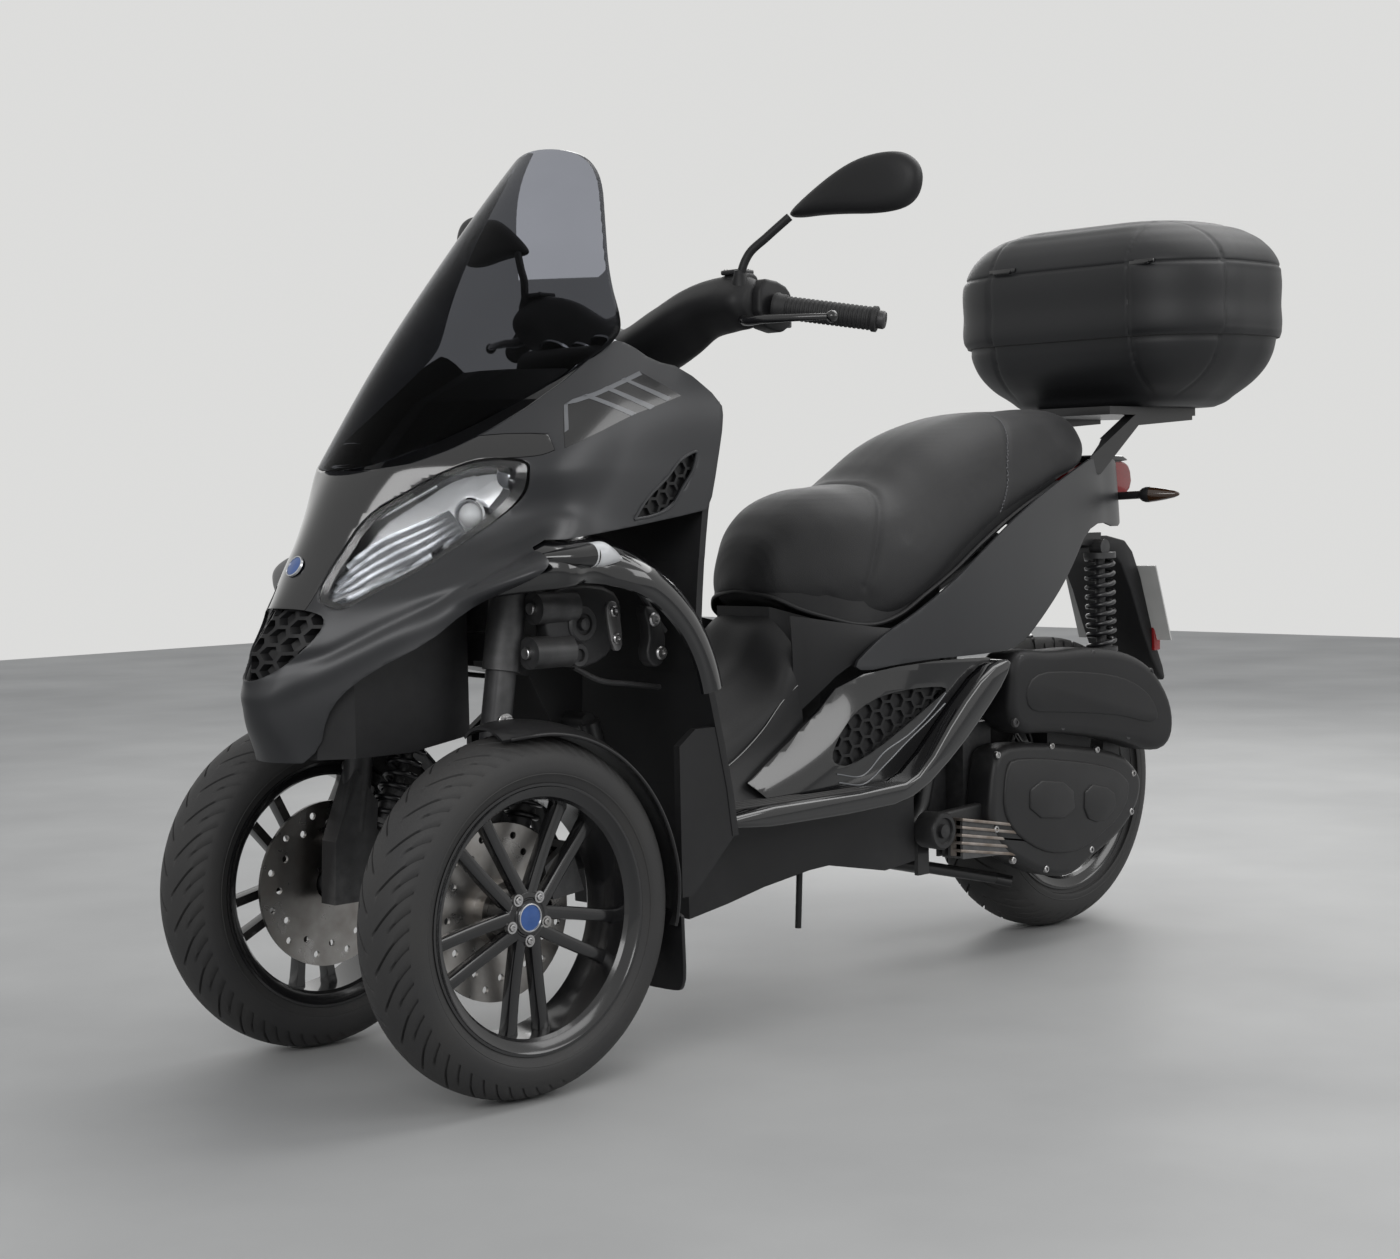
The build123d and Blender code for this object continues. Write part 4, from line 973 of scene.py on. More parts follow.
def nearest(axes, spot, barred):
    """Row and column of the front form's grid point nearest to a spot seen along one axis."""
    first, second = (cowl_grid[:, :, axis] - value for axis, value in zip(axes, spot))
    gap = first**2 + second**2 + 1e6 * barred
    return np.unravel_index(np.argmin(gap), gap.shape)


def on_cowl(x, z, out=0.0):
    """Point on the front form at a given x and z, and its outward normal."""
    r, c = nearest((0, 2), (x, z), cowl_grid[:, :, 1] > 320)
    point, normal = cowl_grid[r, c], cowl_normal[r, c]
    steps = np.array([crease_du[r, c], crease_dv[r, c]])
    share = np.linalg.lstsq(steps[:, [0, 2]].T, [x - point[0], z - point[2]], rcond=0.05)[0]
    return point + np.clip(share, -1, 1) @ steps + normal * out, normal


def both_ways(half):
    return half + [(-x, z) for x, z in reversed(half) if x > 0]


LOWER_SEAM = [
    (-300, 446),
    (-214, 446),
    (-190, 472),
    (-188, 511),
    (-175, 540),
    (-147, 569),
    (-94, 607),
    (-57, 647),
    (10, 700),
    (31, 738),
    (84, 737),
    (183, 747),
    (346, 769),
    (366, 775),
    (383, 835),
    (398, 899),
    (398, 925),
    (338, 973),
    (292, 981),
    (253, 1005),
    (225, 1010),
    (110, 930),
    (0, 868),
    (-78, 833),
    (-140, 836),
    (-300, 836),
]
BEAK = [
    (0, 596),
    (40, 640),
    (48, 668),
    (56, 727),
    (70, 774),
    (104, 802),
    (146, 832),
    (173, 847),
    (212, 846),
    (228, 852),
    (232, 880),
    (150, 880),
    (66, 850),
    (0, 850),
]
LAMP = [
    (48, 668),
    (56, 727),
    (70, 774),
    (104, 802),
    (146, 832),
    (173, 847),
    (212, 846),
    (220, 830),
    (213, 796),
    (180, 752),
    (148, 708),
    (111, 676),
    (85, 651),
    (66, 656),
]
GRILLE = [(0, 560), (26, 565), (62, 600), (74, 640), (50, 652), (0, 655)]
VENT = [(208, 760), (241, 760), (296, 782), (332, 817), (349, 859), (313, 845), (262, 801)]


def shrunk(outline, amount):
    """Outline moved inwards; works for shapes without deep bays."""
    p = np.asarray(outline, float)
    before, after = np.roll(p, 1, axis=0), np.roll(p, -1, axis=0)
    a = p - before
    b = after - p
    a /= np.linalg.norm(a, axis=1, keepdims=True) + 1e-9
    b /= np.linalg.norm(b, axis=1, keepdims=True) + 1e-9
    normal = np.stack([-(a + b)[:, 1], (a + b)[:, 0]], axis=1)
    normal /= np.linalg.norm(normal, axis=1, keepdims=True) + 1e-9
    area = np.sum(p[:, 0] * after[:, 1] - after[:, 0] * p[:, 1])
    return p + normal * amount * np.sign(area)


lamp_curve = softened(LAMP, 3)
beak_curve = softened(both_ways(BEAK), 2)
grille_curve = softened(both_ways(GRILLE), 2)
vent_curve = softened(VENT, 2)
seam_curve = softened(LOWER_SEAM, 1)
NOSE_CUT = (-330, 90)
LAMP_CUT = (-330, 96)


def flipped(outline):
    return np.asarray(outline, float) * [-1, 1]


def lamp_cutters(amount=0.0):
    left = shrunk(lamp_curve, amount)
    return [outline_solid(curve, *LAMP_CUT, "y") for curve in (left, flipped(left)[::-1])]


def vent_cutters():
    curve = shrunk(vent_curve, 0.0)
    return [outline_solid(curve, 180, 270, "x"), outline_solid(curve, -270, -180, "x")]


painted = cowl_shell("front_cowl_dressed", 4.0)
carve(painted, [outline_solid(seam_curve, -330, 330, "x")], "INTERSECT")
carve(painted, [outline_solid(beak_curve, *NOSE_CUT, "y")] + lamp_cutters(-1.0) + vent_cutters())
carve(painted, [outline_solid(grille_curve, -330, -90, "y")])
dress(bevelled(painted, 0.9, 2, 40), PAINT, "root", ("front_cowl",), angle=38)

beak = cowl_shell("nose_beak_dressed", 4.0, 0.5)
carve(beak, [outline_solid(shrunk(beak_curve, 1.2), *NOSE_CUT, "y")], "INTERSECT")
carve(beak, [outline_solid(seam_curve, -330, 330, "x")], "INTERSECT")
carve(beak, lamp_cutters(-1.0) + [outline_solid(grille_curve, -330, -90, "y")])
dress(bevelled(beak, 0.8, 2, 40), GLOSS, "root", ("nose_beak",), angle=38)

# Headlamps: clear cover, black surround, stepped reflector, projector and light strip

lens = cowl_shell("headlamp_covers", 2.2, 0.9)
lens_copy = lens.copy()
lens_copy.data = lens.data.copy()
bpy.context.scene.collection.objects.link(lens_copy)
left_cut, right_cut = lamp_cutters(0.2)
carve(lens, [left_cut], "INTERSECT")
carve(lens_copy, [right_cut], "INTERSECT")
lens = joined("headlamp_covers", [lens, lens_copy])
dress(lens, LENS, "root", ("headlamp_lenses",), angle=30)



def below_cowl(curve, depth, side):
    """Line of (x, z) points laid a depth below the front form, on either side."""
    return [on_cowl(x, z, -depth)[0] * [side, 1, 1] for x, z in curve]


surround = []
for side in (1, -1):
    rings = []
    for inset, depth in ((1.0, 5.0), (9.0, 8.0), (15.0, 34.0)):
        rings.append(below_cowl(shrunk(lamp_curve, inset), depth, side))
    faces = grid_faces(len(rings), len(lamp_curve), around=True)
    surround.append(bare_mesh("surround", np.vstack(rings), faces))
surround = joined("headlamp_surrounds", surround)
step = surround.modifiers.new("wall", "SOLIDIFY")
step.thickness = 0.0015
dress(applied(surround), GLOSS, "root", angle=40)

reflectors, projectors, glass, strips, bulbs = [], [], [], [], []
centre, _ = on_cowl(168, 776, -34)
forward = np.array([0.42, -0.90, 0.02])
forward /= np.linalg.norm(forward)


def facing_turn(name, profile, spot, direction, segments=48):
    """Surface of revolution whose axis points along a direction."""
    obj = turned(name, profile, (0, CENTRE_Y, 0), segments)
    turn = Vector((1, 0, 0)).rotation_difference(Vector(direction))
    obj.data.transform(turn.to_matrix().to_4x4())
    obj.data.transform(Matrix.Translation(Vector(place([spot])[0])))
    return obj


SWEEP_LOW = [(64, 666), (88, 666), (112, 686), (146, 718), (168, 752)]
SWEEP_HIGH = [(57, 690), (66, 716), (86, 742), (118, 764), (148, 780)]
SWEEP_COLUMNS, SWEEP_ROWS, SWEEP_STEPS = 30, 31, 5
for side in (1, -1):
    flip = np.array([side, 1, 1])
    ball = [(-10, 0.3), (-9, 9), (-4, 14.5), (2, 16.5), (7, 15.5)]
    ball += [(12, 12), (15, 7.5), (16.4, 3), (16.6, 0.3)]
    bezel = [(-26, 21), (2, 24), (6, 23), (8, 20.5), (5, 18.5), (-4, 18), (-26, 17)]
    projectors.append(facing_turn("bezel", bezel, centre * flip, forward * flip))
    glass.append(facing_turn("ball", ball, centre * flip, forward * flip))
    bowl_line = [(-24, 6), (-20, 18), (-10, 30), (4, 39), (6, 40)]
    bowl_line += [(6, 41.5), (3, 41), (-12, 32), (-23, 19), (-27, 6)]
    spot, spot_normal = on_cowl(204, 822, -20)
    profile = [(a * 0.42, r * 0.42) for a, r in bowl_line]
    reflectors.append(facing_turn("bowl", profile, spot * flip, (forward * 0.7 + spot_normal * 0.3) * flip))
    bulb = [(-14, 0.2), (-14, 4), (2, 4), (6, 2.4), (7, 0.2)]
    bulbs.append(facing_turn("bulb", [(a * 0.7, r) for a, r in bulb], spot * flip, forward * flip))
    sweep = []
    for t in np.linspace(0, 1, SWEEP_ROWS):
        line = spline(SWEEP_LOW, SWEEP_COLUMNS) * (1 - t) + spline(SWEEP_HIGH, SWEEP_COLUMNS) * t
        sweep.append(below_cowl(line, 14.0 + 7.0 * ((t * SWEEP_STEPS) % 1.0), side))
    reflectors.append(bare_mesh("sweep", np.vstack(sweep), grid_faces(SWEEP_ROWS, SWEEP_COLUMNS)))
    for step_index in range(3):
        share = step_index / 2
        line = []
        for s in np.linspace(0, 1, 16):
            x = 62 + 92 * s
            z = 664 + 34 * share + (62 - 8 * share) * s
            point, _ = on_cowl(x, z, -(12 + 15 * share + 6 * math.sin(math.pi * s)))
            line.append(point * flip)
        strips.append(tube_mesh("vane", line, 2.6, 6))
pan_edge = shrunk(lamp_curve, 14.0)
pan_middle = pan_edge.mean(axis=0)
pans = []
for side in (1, -1):
    rings = []
    for share in (0.02, 0.2, 0.4, 0.6, 0.8, 0.93, 1.0):
        line = pan_middle + (pan_edge - pan_middle) * share
        rings.append(below_cowl(line, 33.0 + 9.0 * (1 - share**2), side))
    faces = grid_faces(len(rings), len(pan_edge), around=True) + [tuple(range(len(pan_edge)))]
    pans.append(bare_mesh("pan", np.vstack(rings), faces))
dress(joined("headlamp_pans", pans), REFLECTOR, "root", ("headlamp_bowls",), angle=40)
dress(joined("headlamp_reflectors", reflectors + strips), BRIGHT, "root")
dress(joined("headlamp_projector_rings", projectors), CHROME, "root")
dress(joined("headlamp_projector_lenses", glass), FROSTED, "root")
dress(joined("headlamp_bulbs", bulbs), SILVER, "root")
light_lines = []
light_run = spline([(55, 690), (62, 728), (74, 764), (104, 790), (136, 812)], 40)
for side in (1, -1):
    light_lines.append(tube_mesh("light line", below_cowl(light_run, 14, side), 3.2, 8))
dress(joined("headlamp_light_strips", light_lines), SILVER, "root")

# Round plain badge on the nose

spot, normal = on_cowl(0, 708, 0.2)
badge_ring = [(0, 15.5), (2.6, 15.0), (3.0, 13.6), (1.8, 12.9), (0, 12.9)]
badge_face = [(0, 13.0), (1.8, 13.0), (2.2, 11.5), (2.5, 0.2), (0, 0.2)]
dress(facing_turn("nose_badge_ring", badge_ring, spot, normal), SILVER, "root")
dress(facing_turn("nose_badge", badge_face, spot, normal), BADGE_BLUE, "root")

# Windscreen: bent sheet cut to its outline, with rounded edges

SCREEN_RUN = [(820, -118), (985, 0), (1130, 120), (1220, 200), (1310, 285)]
SCREEN_OUTLINE = [
    (0, 833),
    (66, 840),
    (123, 875),
    (171, 935),
    (195, 980),
    (205, 1013),
    (199, 1040),
    (176, 1094),
    (143, 1182),
    (115, 1245),
    (85, 1278),
    (50, 1292),
    (0, 1297),
]


def screen_grid(across, up):
    run = spline([(z, y) for z, y in SCREEN_RUN], up)
    xs = np.linspace(-228, 228, across)
    return np.array([[(x, y + 0.005 * x * x, z) for x in xs] for z, y in run])


screen = sheet_solid("windscreen_dressed", screen_grid(60, 60)[:, ::-1], 4.5)
carve(screen, [outline_solid(softened(both_ways(SCREEN_OUTLINE), 2), -200, 600, "y")], "INTERSECT")
dress(bevelled(screen, 1.2, 2, 40), SCREEN, "root", ("windscreen",), angle=35)


# Wheel arches: turned lips and the black side below the flank

ARCH_Y, ARCH_Z, ARCH_SEAM = 90, 480, 265.0
LIP = [(234, 270), (262, 260), (286, 249), (300, 238), (307, 226), (308, 214), (304, 199), (298, 198)]
LIP += [(302, 214), (301, 223), (295, 233), (282, 244), (260, 254), (234, 263)]
FLANK_CREASE = [(84, 737), (183, 747), (346, 769), (366, 775)]


def cowl_reach(y, z):
    """Half width of the cowl at a station and a height."""
    r, c = nearest((1, 2), (y, z), cowl_grid[:, :, 0] < 60)
    return cowl_grid[r, c, 0]


def arch_ring(lip, first, last, steps, lead):
    """Lip of (x, radius) points swept about the arch centre, rear first, then straight ahead."""
    angles = list(np.radians(np.linspace(first, last, steps)))
    runs = [0.0] * steps + list(np.linspace(0, lead, 25)[1:])
    angles += [angles[-1]] * 24
    inward = []
    for angle, run in zip(angles, runs):
        room = 0.0
        for r, x in ((270, 237), (262, 261), (252, 283)):
            y = ARCH_Y + r * math.cos(angle) - run * math.sin(angle)
            z = ARCH_Z + r * math.sin(angle) + run * math.cos(angle)
            room = min(room, cowl_reach(y, z) - x)
        fade = min(1.0, max(0.0, (math.degrees(angle) - 66) / 26))
        inward.append(room * fade * fade * (3 - 2 * fade) - 0.14 * run)
    padded = np.pad(inward, 6, mode="edge")
    inward = np.convolve(padded, np.ones(13) / 13, mode="valid")
    rings = []
    for angle, run, shift in zip(angles, runs, inward):
        ahead, down = -run * math.sin(angle), run * math.cos(angle)
        ring = []
        for x, r in lip:
            y = ARCH_Y + r * math.cos(angle) + ahead
            ring.append((x + shift, y, ARCH_Z + r * math.sin(angle) + down))
        rings.append(ring)
    return loft("arch lip", rings, first_reversed=True)


arch_lip_curve = [tuple(p) for p in spline(LIP, 40)]
arch_seam = []
for angle in (104, 96, 88, 80, 70, 60, 50, 40, 30, 20, 8):
    turn = math.radians(angle)
    arch_seam.append((ARCH_Y + ARCH_SEAM * math.cos(turn), ARCH_Z + ARCH_SEAM * math.sin(turn)))
arch_side_outline = arch_seam + [(352, 560), (346, 600), (348, 672), (354, 729)] + FLANK_CREASE[::-1][1:]
arch_side = cowl_shell("arch side", 4.0)
carve(arch_side, [outline_solid(arch_side_outline, 200, 330, "x")], "INTERSECT")
arch_pieces = [arch_ring(arch_lip_curve, 11, 101, 90, 88), bevelled(arch_side, 0.8, 2, 40)]
arch_left = joined("wheel_arch_left_dressed", arch_pieces)
arch_right = other_side(arch_left, "wheel_arch_right_dressed")
dress(arch_left, GLOSS, "root", ("wheel_arches",), angle=38)
dress(arch_right, GLOSS, "root", ("wheel_arches",), angle=38)

# Vents: honeycomb plates stay from the CAD; each gets a raised frame that follows its rim


def rim_on_cowl(name, outline, radius, material, lift):
    line = []
    for y, z in np.vstack([outline, outline[:1]]):
        r, c = nearest((1, 2), (y, z), cowl_grid[:, :, 0] < 150)
        line.append(cowl_grid[r, c] + cowl_normal[r, c] * lift)
    smooth_line = spline(line[::3], 90)
    left = tube_mesh(name + "_left", smooth_line, radius, 10, cap=False)
    right = other_side(left, name + "_right")
    for piece in (left, right):
        dress(piece, material, "root")


rim_on_cowl("vent_rim", vent_curve, 2.6, PAINT, -1.0)

# Stripes on the flank: a dark film field with pale slanting bars and their rail

FILM_FIELD = [(111, 882), (127, 918), (142, 926), (176, 936), (226, 954), (259, 966)]
FILM_FIELD += [(322, 932), (228, 904), (172, 883), (104, 859)]
FILM_RAIL = [(127, 918), (142, 926), (176, 936), (226, 954), (259, 966)]
FILM_RAIL += [(262, 961), (228, 949), (178, 931), (144, 921)]
BARS = [
    [(127, 918), (133, 921), (118, 884), (111, 880)],
    FILM_RAIL,
    [(155, 930), (163, 933), (236, 907), (226, 903)],
    [(189, 941), (197, 944), (270, 917), (260, 912)],
    [(223, 954), (230, 956), (303, 929), (293, 924)],
]


def flank_film(name, outlines, lift, material):
    films = []
    for outline in outlines:
        film = cowl_shell("film", 1.0, -lift)
        films.append(carve(film, [outline_solid(outline, 150, 330, "x")], "INTERSECT"))
    left = joined(name + "_left", films)
    right = other_side(left, name + "_right")
    for piece in (left, right):
        dress(piece, material)


flank_film("flank_film", [FILM_FIELD], 0.5, STRIPE)
flank_film("flank_bars", BARS, 1.0, STRIPE_AND_HIGHLIGHT_GREY)

# Front indicators: black pod with a pointed clear lens


def pod(name, stations, sides=28):
    """Closed egg-shaped loft through (x, y, z, half height, half width) stations."""
    rings = []
    angle = np.linspace(0, 2 * math.pi, sides, endpoint=False)
    for x, y, z, high, wide in spline(stations, 26):
        ring = [x + wide * np.cos(angle), np.full(sides, y), z + high * np.sin(angle)]
        rings.append(np.stack(ring, axis=1))
    return loft(name, rings)


housing = pod(
    "front_indicator_housing_left",
    [(264, 30, 714, 6, 8), (280, 60, 714, 13, 20), (292, 92, 716, 17, 20)],
)
lens_shell = pod(
    "front_indicator_lens_left",
    [(293, 88, 716, 16.5, 18), (296, 104, 717, 17, 17), (294, 126, 714, 11, 11), (288, 150, 709, 2, 2)],
)
for piece, material in ((housing, GLOSS), (lens_shell, FROSTED)):
    twin = other_side(piece, piece.name.replace("left", "right"))
    for part in (piece, twin):
        dress(part, material, "root")

# Rear body: painted side panels and black lower covers cut from one smooth form

BODY_LEVELS = [
    (330, (-960, -956, -740, -580, -400, -300, -200, -100, -90), (0, 150, 172, 177, 176, 160, 120, 60, 0)),
    (480, (-860, -800, -660, -490, -290, -120, 30, 130, 165), (0, 124, 176, 194, 186, 164, 122, 66, 0)),
    (640, (-800, -760, -640, -490, -290, -120, 40, 150, 190), (0, 120, 172, 192, 184, 160, 122, 70, 0)),
    (880, (-744, -740, -640, -490, -290, -120, 40, 150, 190), (0, 110, 150, 168, 160, 138, 104, 60, 0)),
]


def body_grid(across, up):
    rows = []
    for z, stations, widths in BODY_LEVELS:
        line = [(x, REAR_Y + y, z) for y, x in zip(stations, widths)]
        rows.append(spline(line[1:], across))
    rows = np.array(rows)
    return np.array([spline(rows[:, c], up) for c in range(across)]).transpose(1, 0, 2)


def behind(outline):
    """Side outline given from the rear axle's station."""
    return [(REAR_Y + y, z) for y, z in outline]


PANEL_SIDE = [
    (-705, 508),
    (-639, 566),
    (-576, 594),
    (-493, 636),
    (-392, 694),
    (-288, 746),
    (-191, 785),
    (-60, 828),
    (20, 850),
    (150, 842),
    (172, 790),
    (140, 712),
    (-21, 740),
    (-128, 643),
    (-220, 580),
    (-303, 528),
    (-404, 524),
    (-578, 524),
]
LOWER_SIDE = [
    (-960, 332),
    (-648, 332),
    (-594, 353),
    (-509, 443),
    (-434, 503),
    (-380, 514),
    (-404, 520),
    (-578, 520),
    (-705, 504),
    (-772, 440),
]
LOWER_VENT = [(-759, 375), (-704, 365), (-526, 457), (-488, 479), (-611, 480), (-683, 461), (-731, 419)]
rear_grid = body_grid(90, 60)
rear_normal = grid_normals(rear_grid, 1e-9)
if rear_normal[30, 40, 0] < 0:
    rear_normal = -rear_normal
    rear_grid = rear_grid[:, ::-1]
    rear_normal = rear_normal[:, ::-1]


def smoothed_outline(outline, rounds=2):
    return softened(behind(outline), rounds)


def on_body(y, z, out=0.0):
    gap = (rear_grid[:, :, 1] - y) ** 2 + (rear_grid[:, :, 2] - z) ** 2
    r, c = np.unravel_index(np.argmin(gap), gap.shape)
    return rear_grid[r, c] + rear_normal[r, c] * out


side_panel = sheet_solid("side_panel_left_dressed", rear_grid, 5.0)
carve(side_panel, [outline_solid(smoothed_outline(PANEL_SIDE), 1, 260, "x")], "INTERSECT")
bevelled(side_panel, 1.6, 3, 40)
side_panel_right = other_side(side_panel, "side_panel_right_dressed")
dress(side_panel, PAINT, "root", ("side_panels",), angle=38)
dress(side_panel_right, PAINT, "root", ("side_panels",), angle=38)

lower_vent_curve = smoothed_outline(LOWER_VENT)
lower_cover = sheet_solid("lower_cover_left_dressed", rear_grid, 5.0)
carve(lower_cover, [outline_solid(smoothed_outline(LOWER_SIDE, 1), 60, 260, "x")], "INTERSECT")
carve(lower_cover, [outline_solid(lower_vent_curve, 60, 260, "x")])
bevelled(lower_cover, 1.6, 3, 40)
lower_cover_right = other_side(lower_cover, "lower_cover_right_dressed")
dress(lower_cover, GLOSS, "root", ("lower_covers",), angle=38)
dress(lower_cover_right, GLOSS, "root", ("lower_covers",), angle=38)
# Two pale grey tubes along the lower vent are painted highlights: they stand for light caught on the edges
# of the panel steps.
for index, drop in enumerate((6, 22)):
    run = [(-742, 362), (-704, 352), (-640, 382), (-560, 430), (-500, 470)]
    line = [on_body(REAR_Y + y, z - drop + 4, 0.2) for y, z in spline(run, 40)]
    left = tube_mesh(f"lower_trim_{index}_left", spline(line[::8] + line[-1:], 50), 1.3, 8)
    right = other_side(left, f"lower_trim_{index}_right")
    for piece in (left, right):
        dress(piece, STRIPE_AND_HIGHLIGHT_GREY)

# Tunnel between the rider's feet and the cheeks that join it to the seat base

TUNNEL = [(412.3, 436, 56, 108), (542, 484, 60, 114), (617, 532, 62, 118)]
TUNNEL += [(654, 587, 70, 118), (672, 600, 74, 118)]
rows = []
for y, top, half_top, half_low in spline(TUNNEL, 40):
    half = [
        (half_low + 34, y, 332),
        (half_low + 8, y, (top + 290) / 2),
        (half_low - 4, y, top - 52),
        (half_top + 8, y, top - 18),
        (half_top - 16, y, top - 2),
        (0, y, top),
    ]
    full = half + [(-x, y, z) for x, y, z in half[-2::-1]]
    rows.append(spline(full, 61))
tunnel_grid = np.array(rows)
tunnel_across = tunnel_grid[20, 31] - tunnel_grid[20, 29]
tunnel_along = tunnel_grid[21, 30] - tunnel_grid[19, 30]
if np.cross(tunnel_across, tunnel_along)[2] < 0:
    tunnel_grid = tunnel_grid[:, ::-1]
tunnel = sheet_solid("tunnel_shell", tunnel_grid, 4.0)
cheeks = []
for side in (1, -1):
    rows = []
    for share in np.linspace(0, 1, 12):
        y = 656 + (852 - 656) * share
        x = 118 + (180 - 118) * share**0.8
        low = np.interp(y, [656, 735, 800, 852], [446, 512, 545, 566])
        high = np.interp(y, [656, 725, 800, 852], [604, 592, 580, 574])
        bulge = [(x + 4 * math.sin(math.pi * k), y, low + (high - low) * k) for k in np.linspace(0, 1, 14)]
        rows.append([(side * a, b, c) for a, b, c in bulge])
    grid = np.array(rows)
    if side * np.cross(grid[5, 6] - grid[5, 4], grid[6, 5] - grid[4, 5])[0] < 0:
        grid = grid[:, ::-1]
    cheeks.append(sheet_solid("cheek", grid, 4.0))
dress(joined("tunnel_dressed", [tunnel] + cheeks), PLASTIC, "root", ("tunnel",), angle=38)
seam = [(118, 420, 352), (124, 500, 382), (121, 580, 428), (121, 640, 480), (124, 680, 506)]
for side, label in ((1, "left"), (-1, "right")):
    line = spline([(side * (x + 1), y, z) for x, y, z in seam], 40)
    dress(tube_mesh(f"tunnel_seam_{label}", line, 1.4, 8), GLOSS)

# Floor boards with a rolled edge and rubber ribs

floor_parts = []
FLOOR_EDGE = [(412.3, 302), (412.3, 332)]
FLOOR_EDGE += behind([(-649, 332), (-590, 352), (-505, 440), (-430, 500), (-358, 520)])
FLOOR_EDGE += behind([(-380, 480), (-435, 430), (-504, 375), (-597, 316), (-684, 301)])
for side in (1, -1):
    floor_parts.append(moulding(softened(FLOOR_EDGE, 1), (side * 160, side * 222), 7.0, 4))
floor_plate = [(412.3, 318), (412.3, 331.6), (800, 331.6), (800, 318)]
floor_parts.append(outline_solid(floor_plate, -168, 168, "x"))
dress(joined("floorboards_dressed", floor_parts), GLOSS, "root", ("floorboards",), angle=35)
ribs = []
for side in (1, -1):
    for index in range(5):
        x = side * (150 + 13 * index)
        ribs.append(rounded_block("rib", (x - 2.5, 440, 331), (x + 2.5, 770 - 8 * index, 334.5), 1.6, 2))
dress(joined("floor_ribs", ribs), RUBBER)


# Seat: one stepped cushion, puffed by a short cloth run, then sewn


SEAT_SECTIONS = [
    (-783, 640, 662, 14, 26),
    (-770, 627, 703, 42, 60),
    (-738, 613, 746, 74, 96),
    (-692, 598, 779, 101, 123),
    (-636, 582, 798, 121, 145),
    (-575, 584, 803, 131, 159),
    (-520, 606, 812, 130, 165),
    (-470, 636, 842, 122, 167),
    (-406, 678, 879, 117, 164),
    (-290, 733, 916, 112, 152),
    (-130, 792, 929, 100, 134),
    (0, 845, 924, 74, 104),
    (30, 866, 908, 48, 66),
]


def seat_ring(y, low, top, half_top, half_low, inset):
    rise = top - low
    half = [
        (0, low + inset),
        (half_low - 16, low + inset),
        (half_low - 4 - inset, low + 0.06 * rise),
        (half_low - inset, low + 0.22 * rise),
        ((half_low + half_top) / 2 + 5 - inset, low + 0.52 * rise),
        (half_top + 1 - inset, low + 0.78 * rise),
        (half_top * 0.74, top - 0.085 * rise - inset),
        (half_top * 0.38, top - 0.015 * rise - inset),
        (0, top - inset),
    ]
    right = spline([(x, y, z) for x, z in half], 34)
    left = right[-2:0:-1] * [-1, 1, 1]
    return np.vstack([right, left])


def make_seat():
    inset = 3.0
    knots = [s[0] for s in SEAT_SECTIONS]
    line = spline([list(s) for s in SEAT_SECTIONS], 120, [k - knots[0] for k in knots])
    rings = [seat_ring(REAR_Y + y, low, top, a, b, inset) for y, low, top, a, b in line]
    return loft("seat_dressed", rings)


CLOTH_FRAMES = 20


def puffed(obj, voxel, pressure, cap):
    """Cushion swollen by a short cloth run; no point moves further than the cap, in metres."""
    remesh = obj.modifiers.new("even mesh", "REMESH")
    remesh.mode = "VOXEL"
    remesh.voxel_size = voxel
    applied(obj)
    start = np.array([v.co[:] for v in obj.data.vertices])
    gravity = bpy.context.scene.use_gravity
    bpy.context.scene.use_gravity = False
    cloth = obj.modifiers.new("cloth", "CLOTH")
    cloth.settings.quality = 4
    cloth.settings.mass = 0.4
    cloth.settings.tension_stiffness = 18
    cloth.settings.compression_stiffness = 18
    cloth.settings.shear_stiffness = 8
    cloth.settings.bending_stiffness = 1.2
    cloth.settings.use_pressure = True
    cloth.settings.uniform_pressure_force = pressure
    cloth.settings.effector_weights.gravity = 0
    cloth.collision_settings.use_collision = False
    cloth.point_cache.frame_start = 1
    cloth.point_cache.frame_end = CLOTH_FRAMES
    for number in range(1, CLOTH_FRAMES + 1):
        bpy.context.scene.frame_set(number)
    applied(obj)
    bpy.context.scene.frame_set(1)
    bpy.context.scene.use_gravity = gravity
    end = np.array([v.co[:] for v in obj.data.vertices])
    move = end - start
    reach = np.linalg.norm(move, axis=1, keepdims=True)
    move *= np.minimum(1.0, cap / np.maximum(reach, 1e-9))
    obj.data.vertices.foreach_set("co", (start + move).ravel())
    obj.data.update()
    return obj


def refined(obj, rounds):
    step = obj.modifiers.new("smooth", "SUBSURF")
    step.levels = rounds
    step.render_levels = rounds
    return applied(obj)


def press_line(obj, path, width, depth):
    """Sewn channel: points near the path sink along their normals. Lengths in millimetres."""
    line = place(path)
    data = obj.data
    points = np.array([v.co[:] for v in data.vertices])
    normals = np.array([v.normal[:] for v in data.vertices])
    near = np.full(len(points), 1e9)
    for a, b in zip(line[:-1], line[1:]):
        run = b - a
        share = np.clip(((points - a) @ run) / (run @ run), 0, 1)
        near = np.minimum(near, np.linalg.norm(points - (a + share[:, None] * run), axis=1))
    sink = depth / 1000 * np.clip(1 - near / (width / 1000), 0, 1) ** 1.6
    data.vertices.foreach_set("co", (points - normals * sink[:, None]).ravel())
    data.update()


def on_surface(obj, path, lift=0.0):
    """Path laid onto a mesh: nearest points, lifted along the normals. Millimetres in and out."""
    laid = []
    for point in place(path):
        _, spot, normal, _ = obj.closest_point_on_mesh(Vector(point))
        laid.append(np.array(spot) * 1000 + [0, CENTRE_Y, 0] + np.array(normal) * lift)
    return np.array(laid)


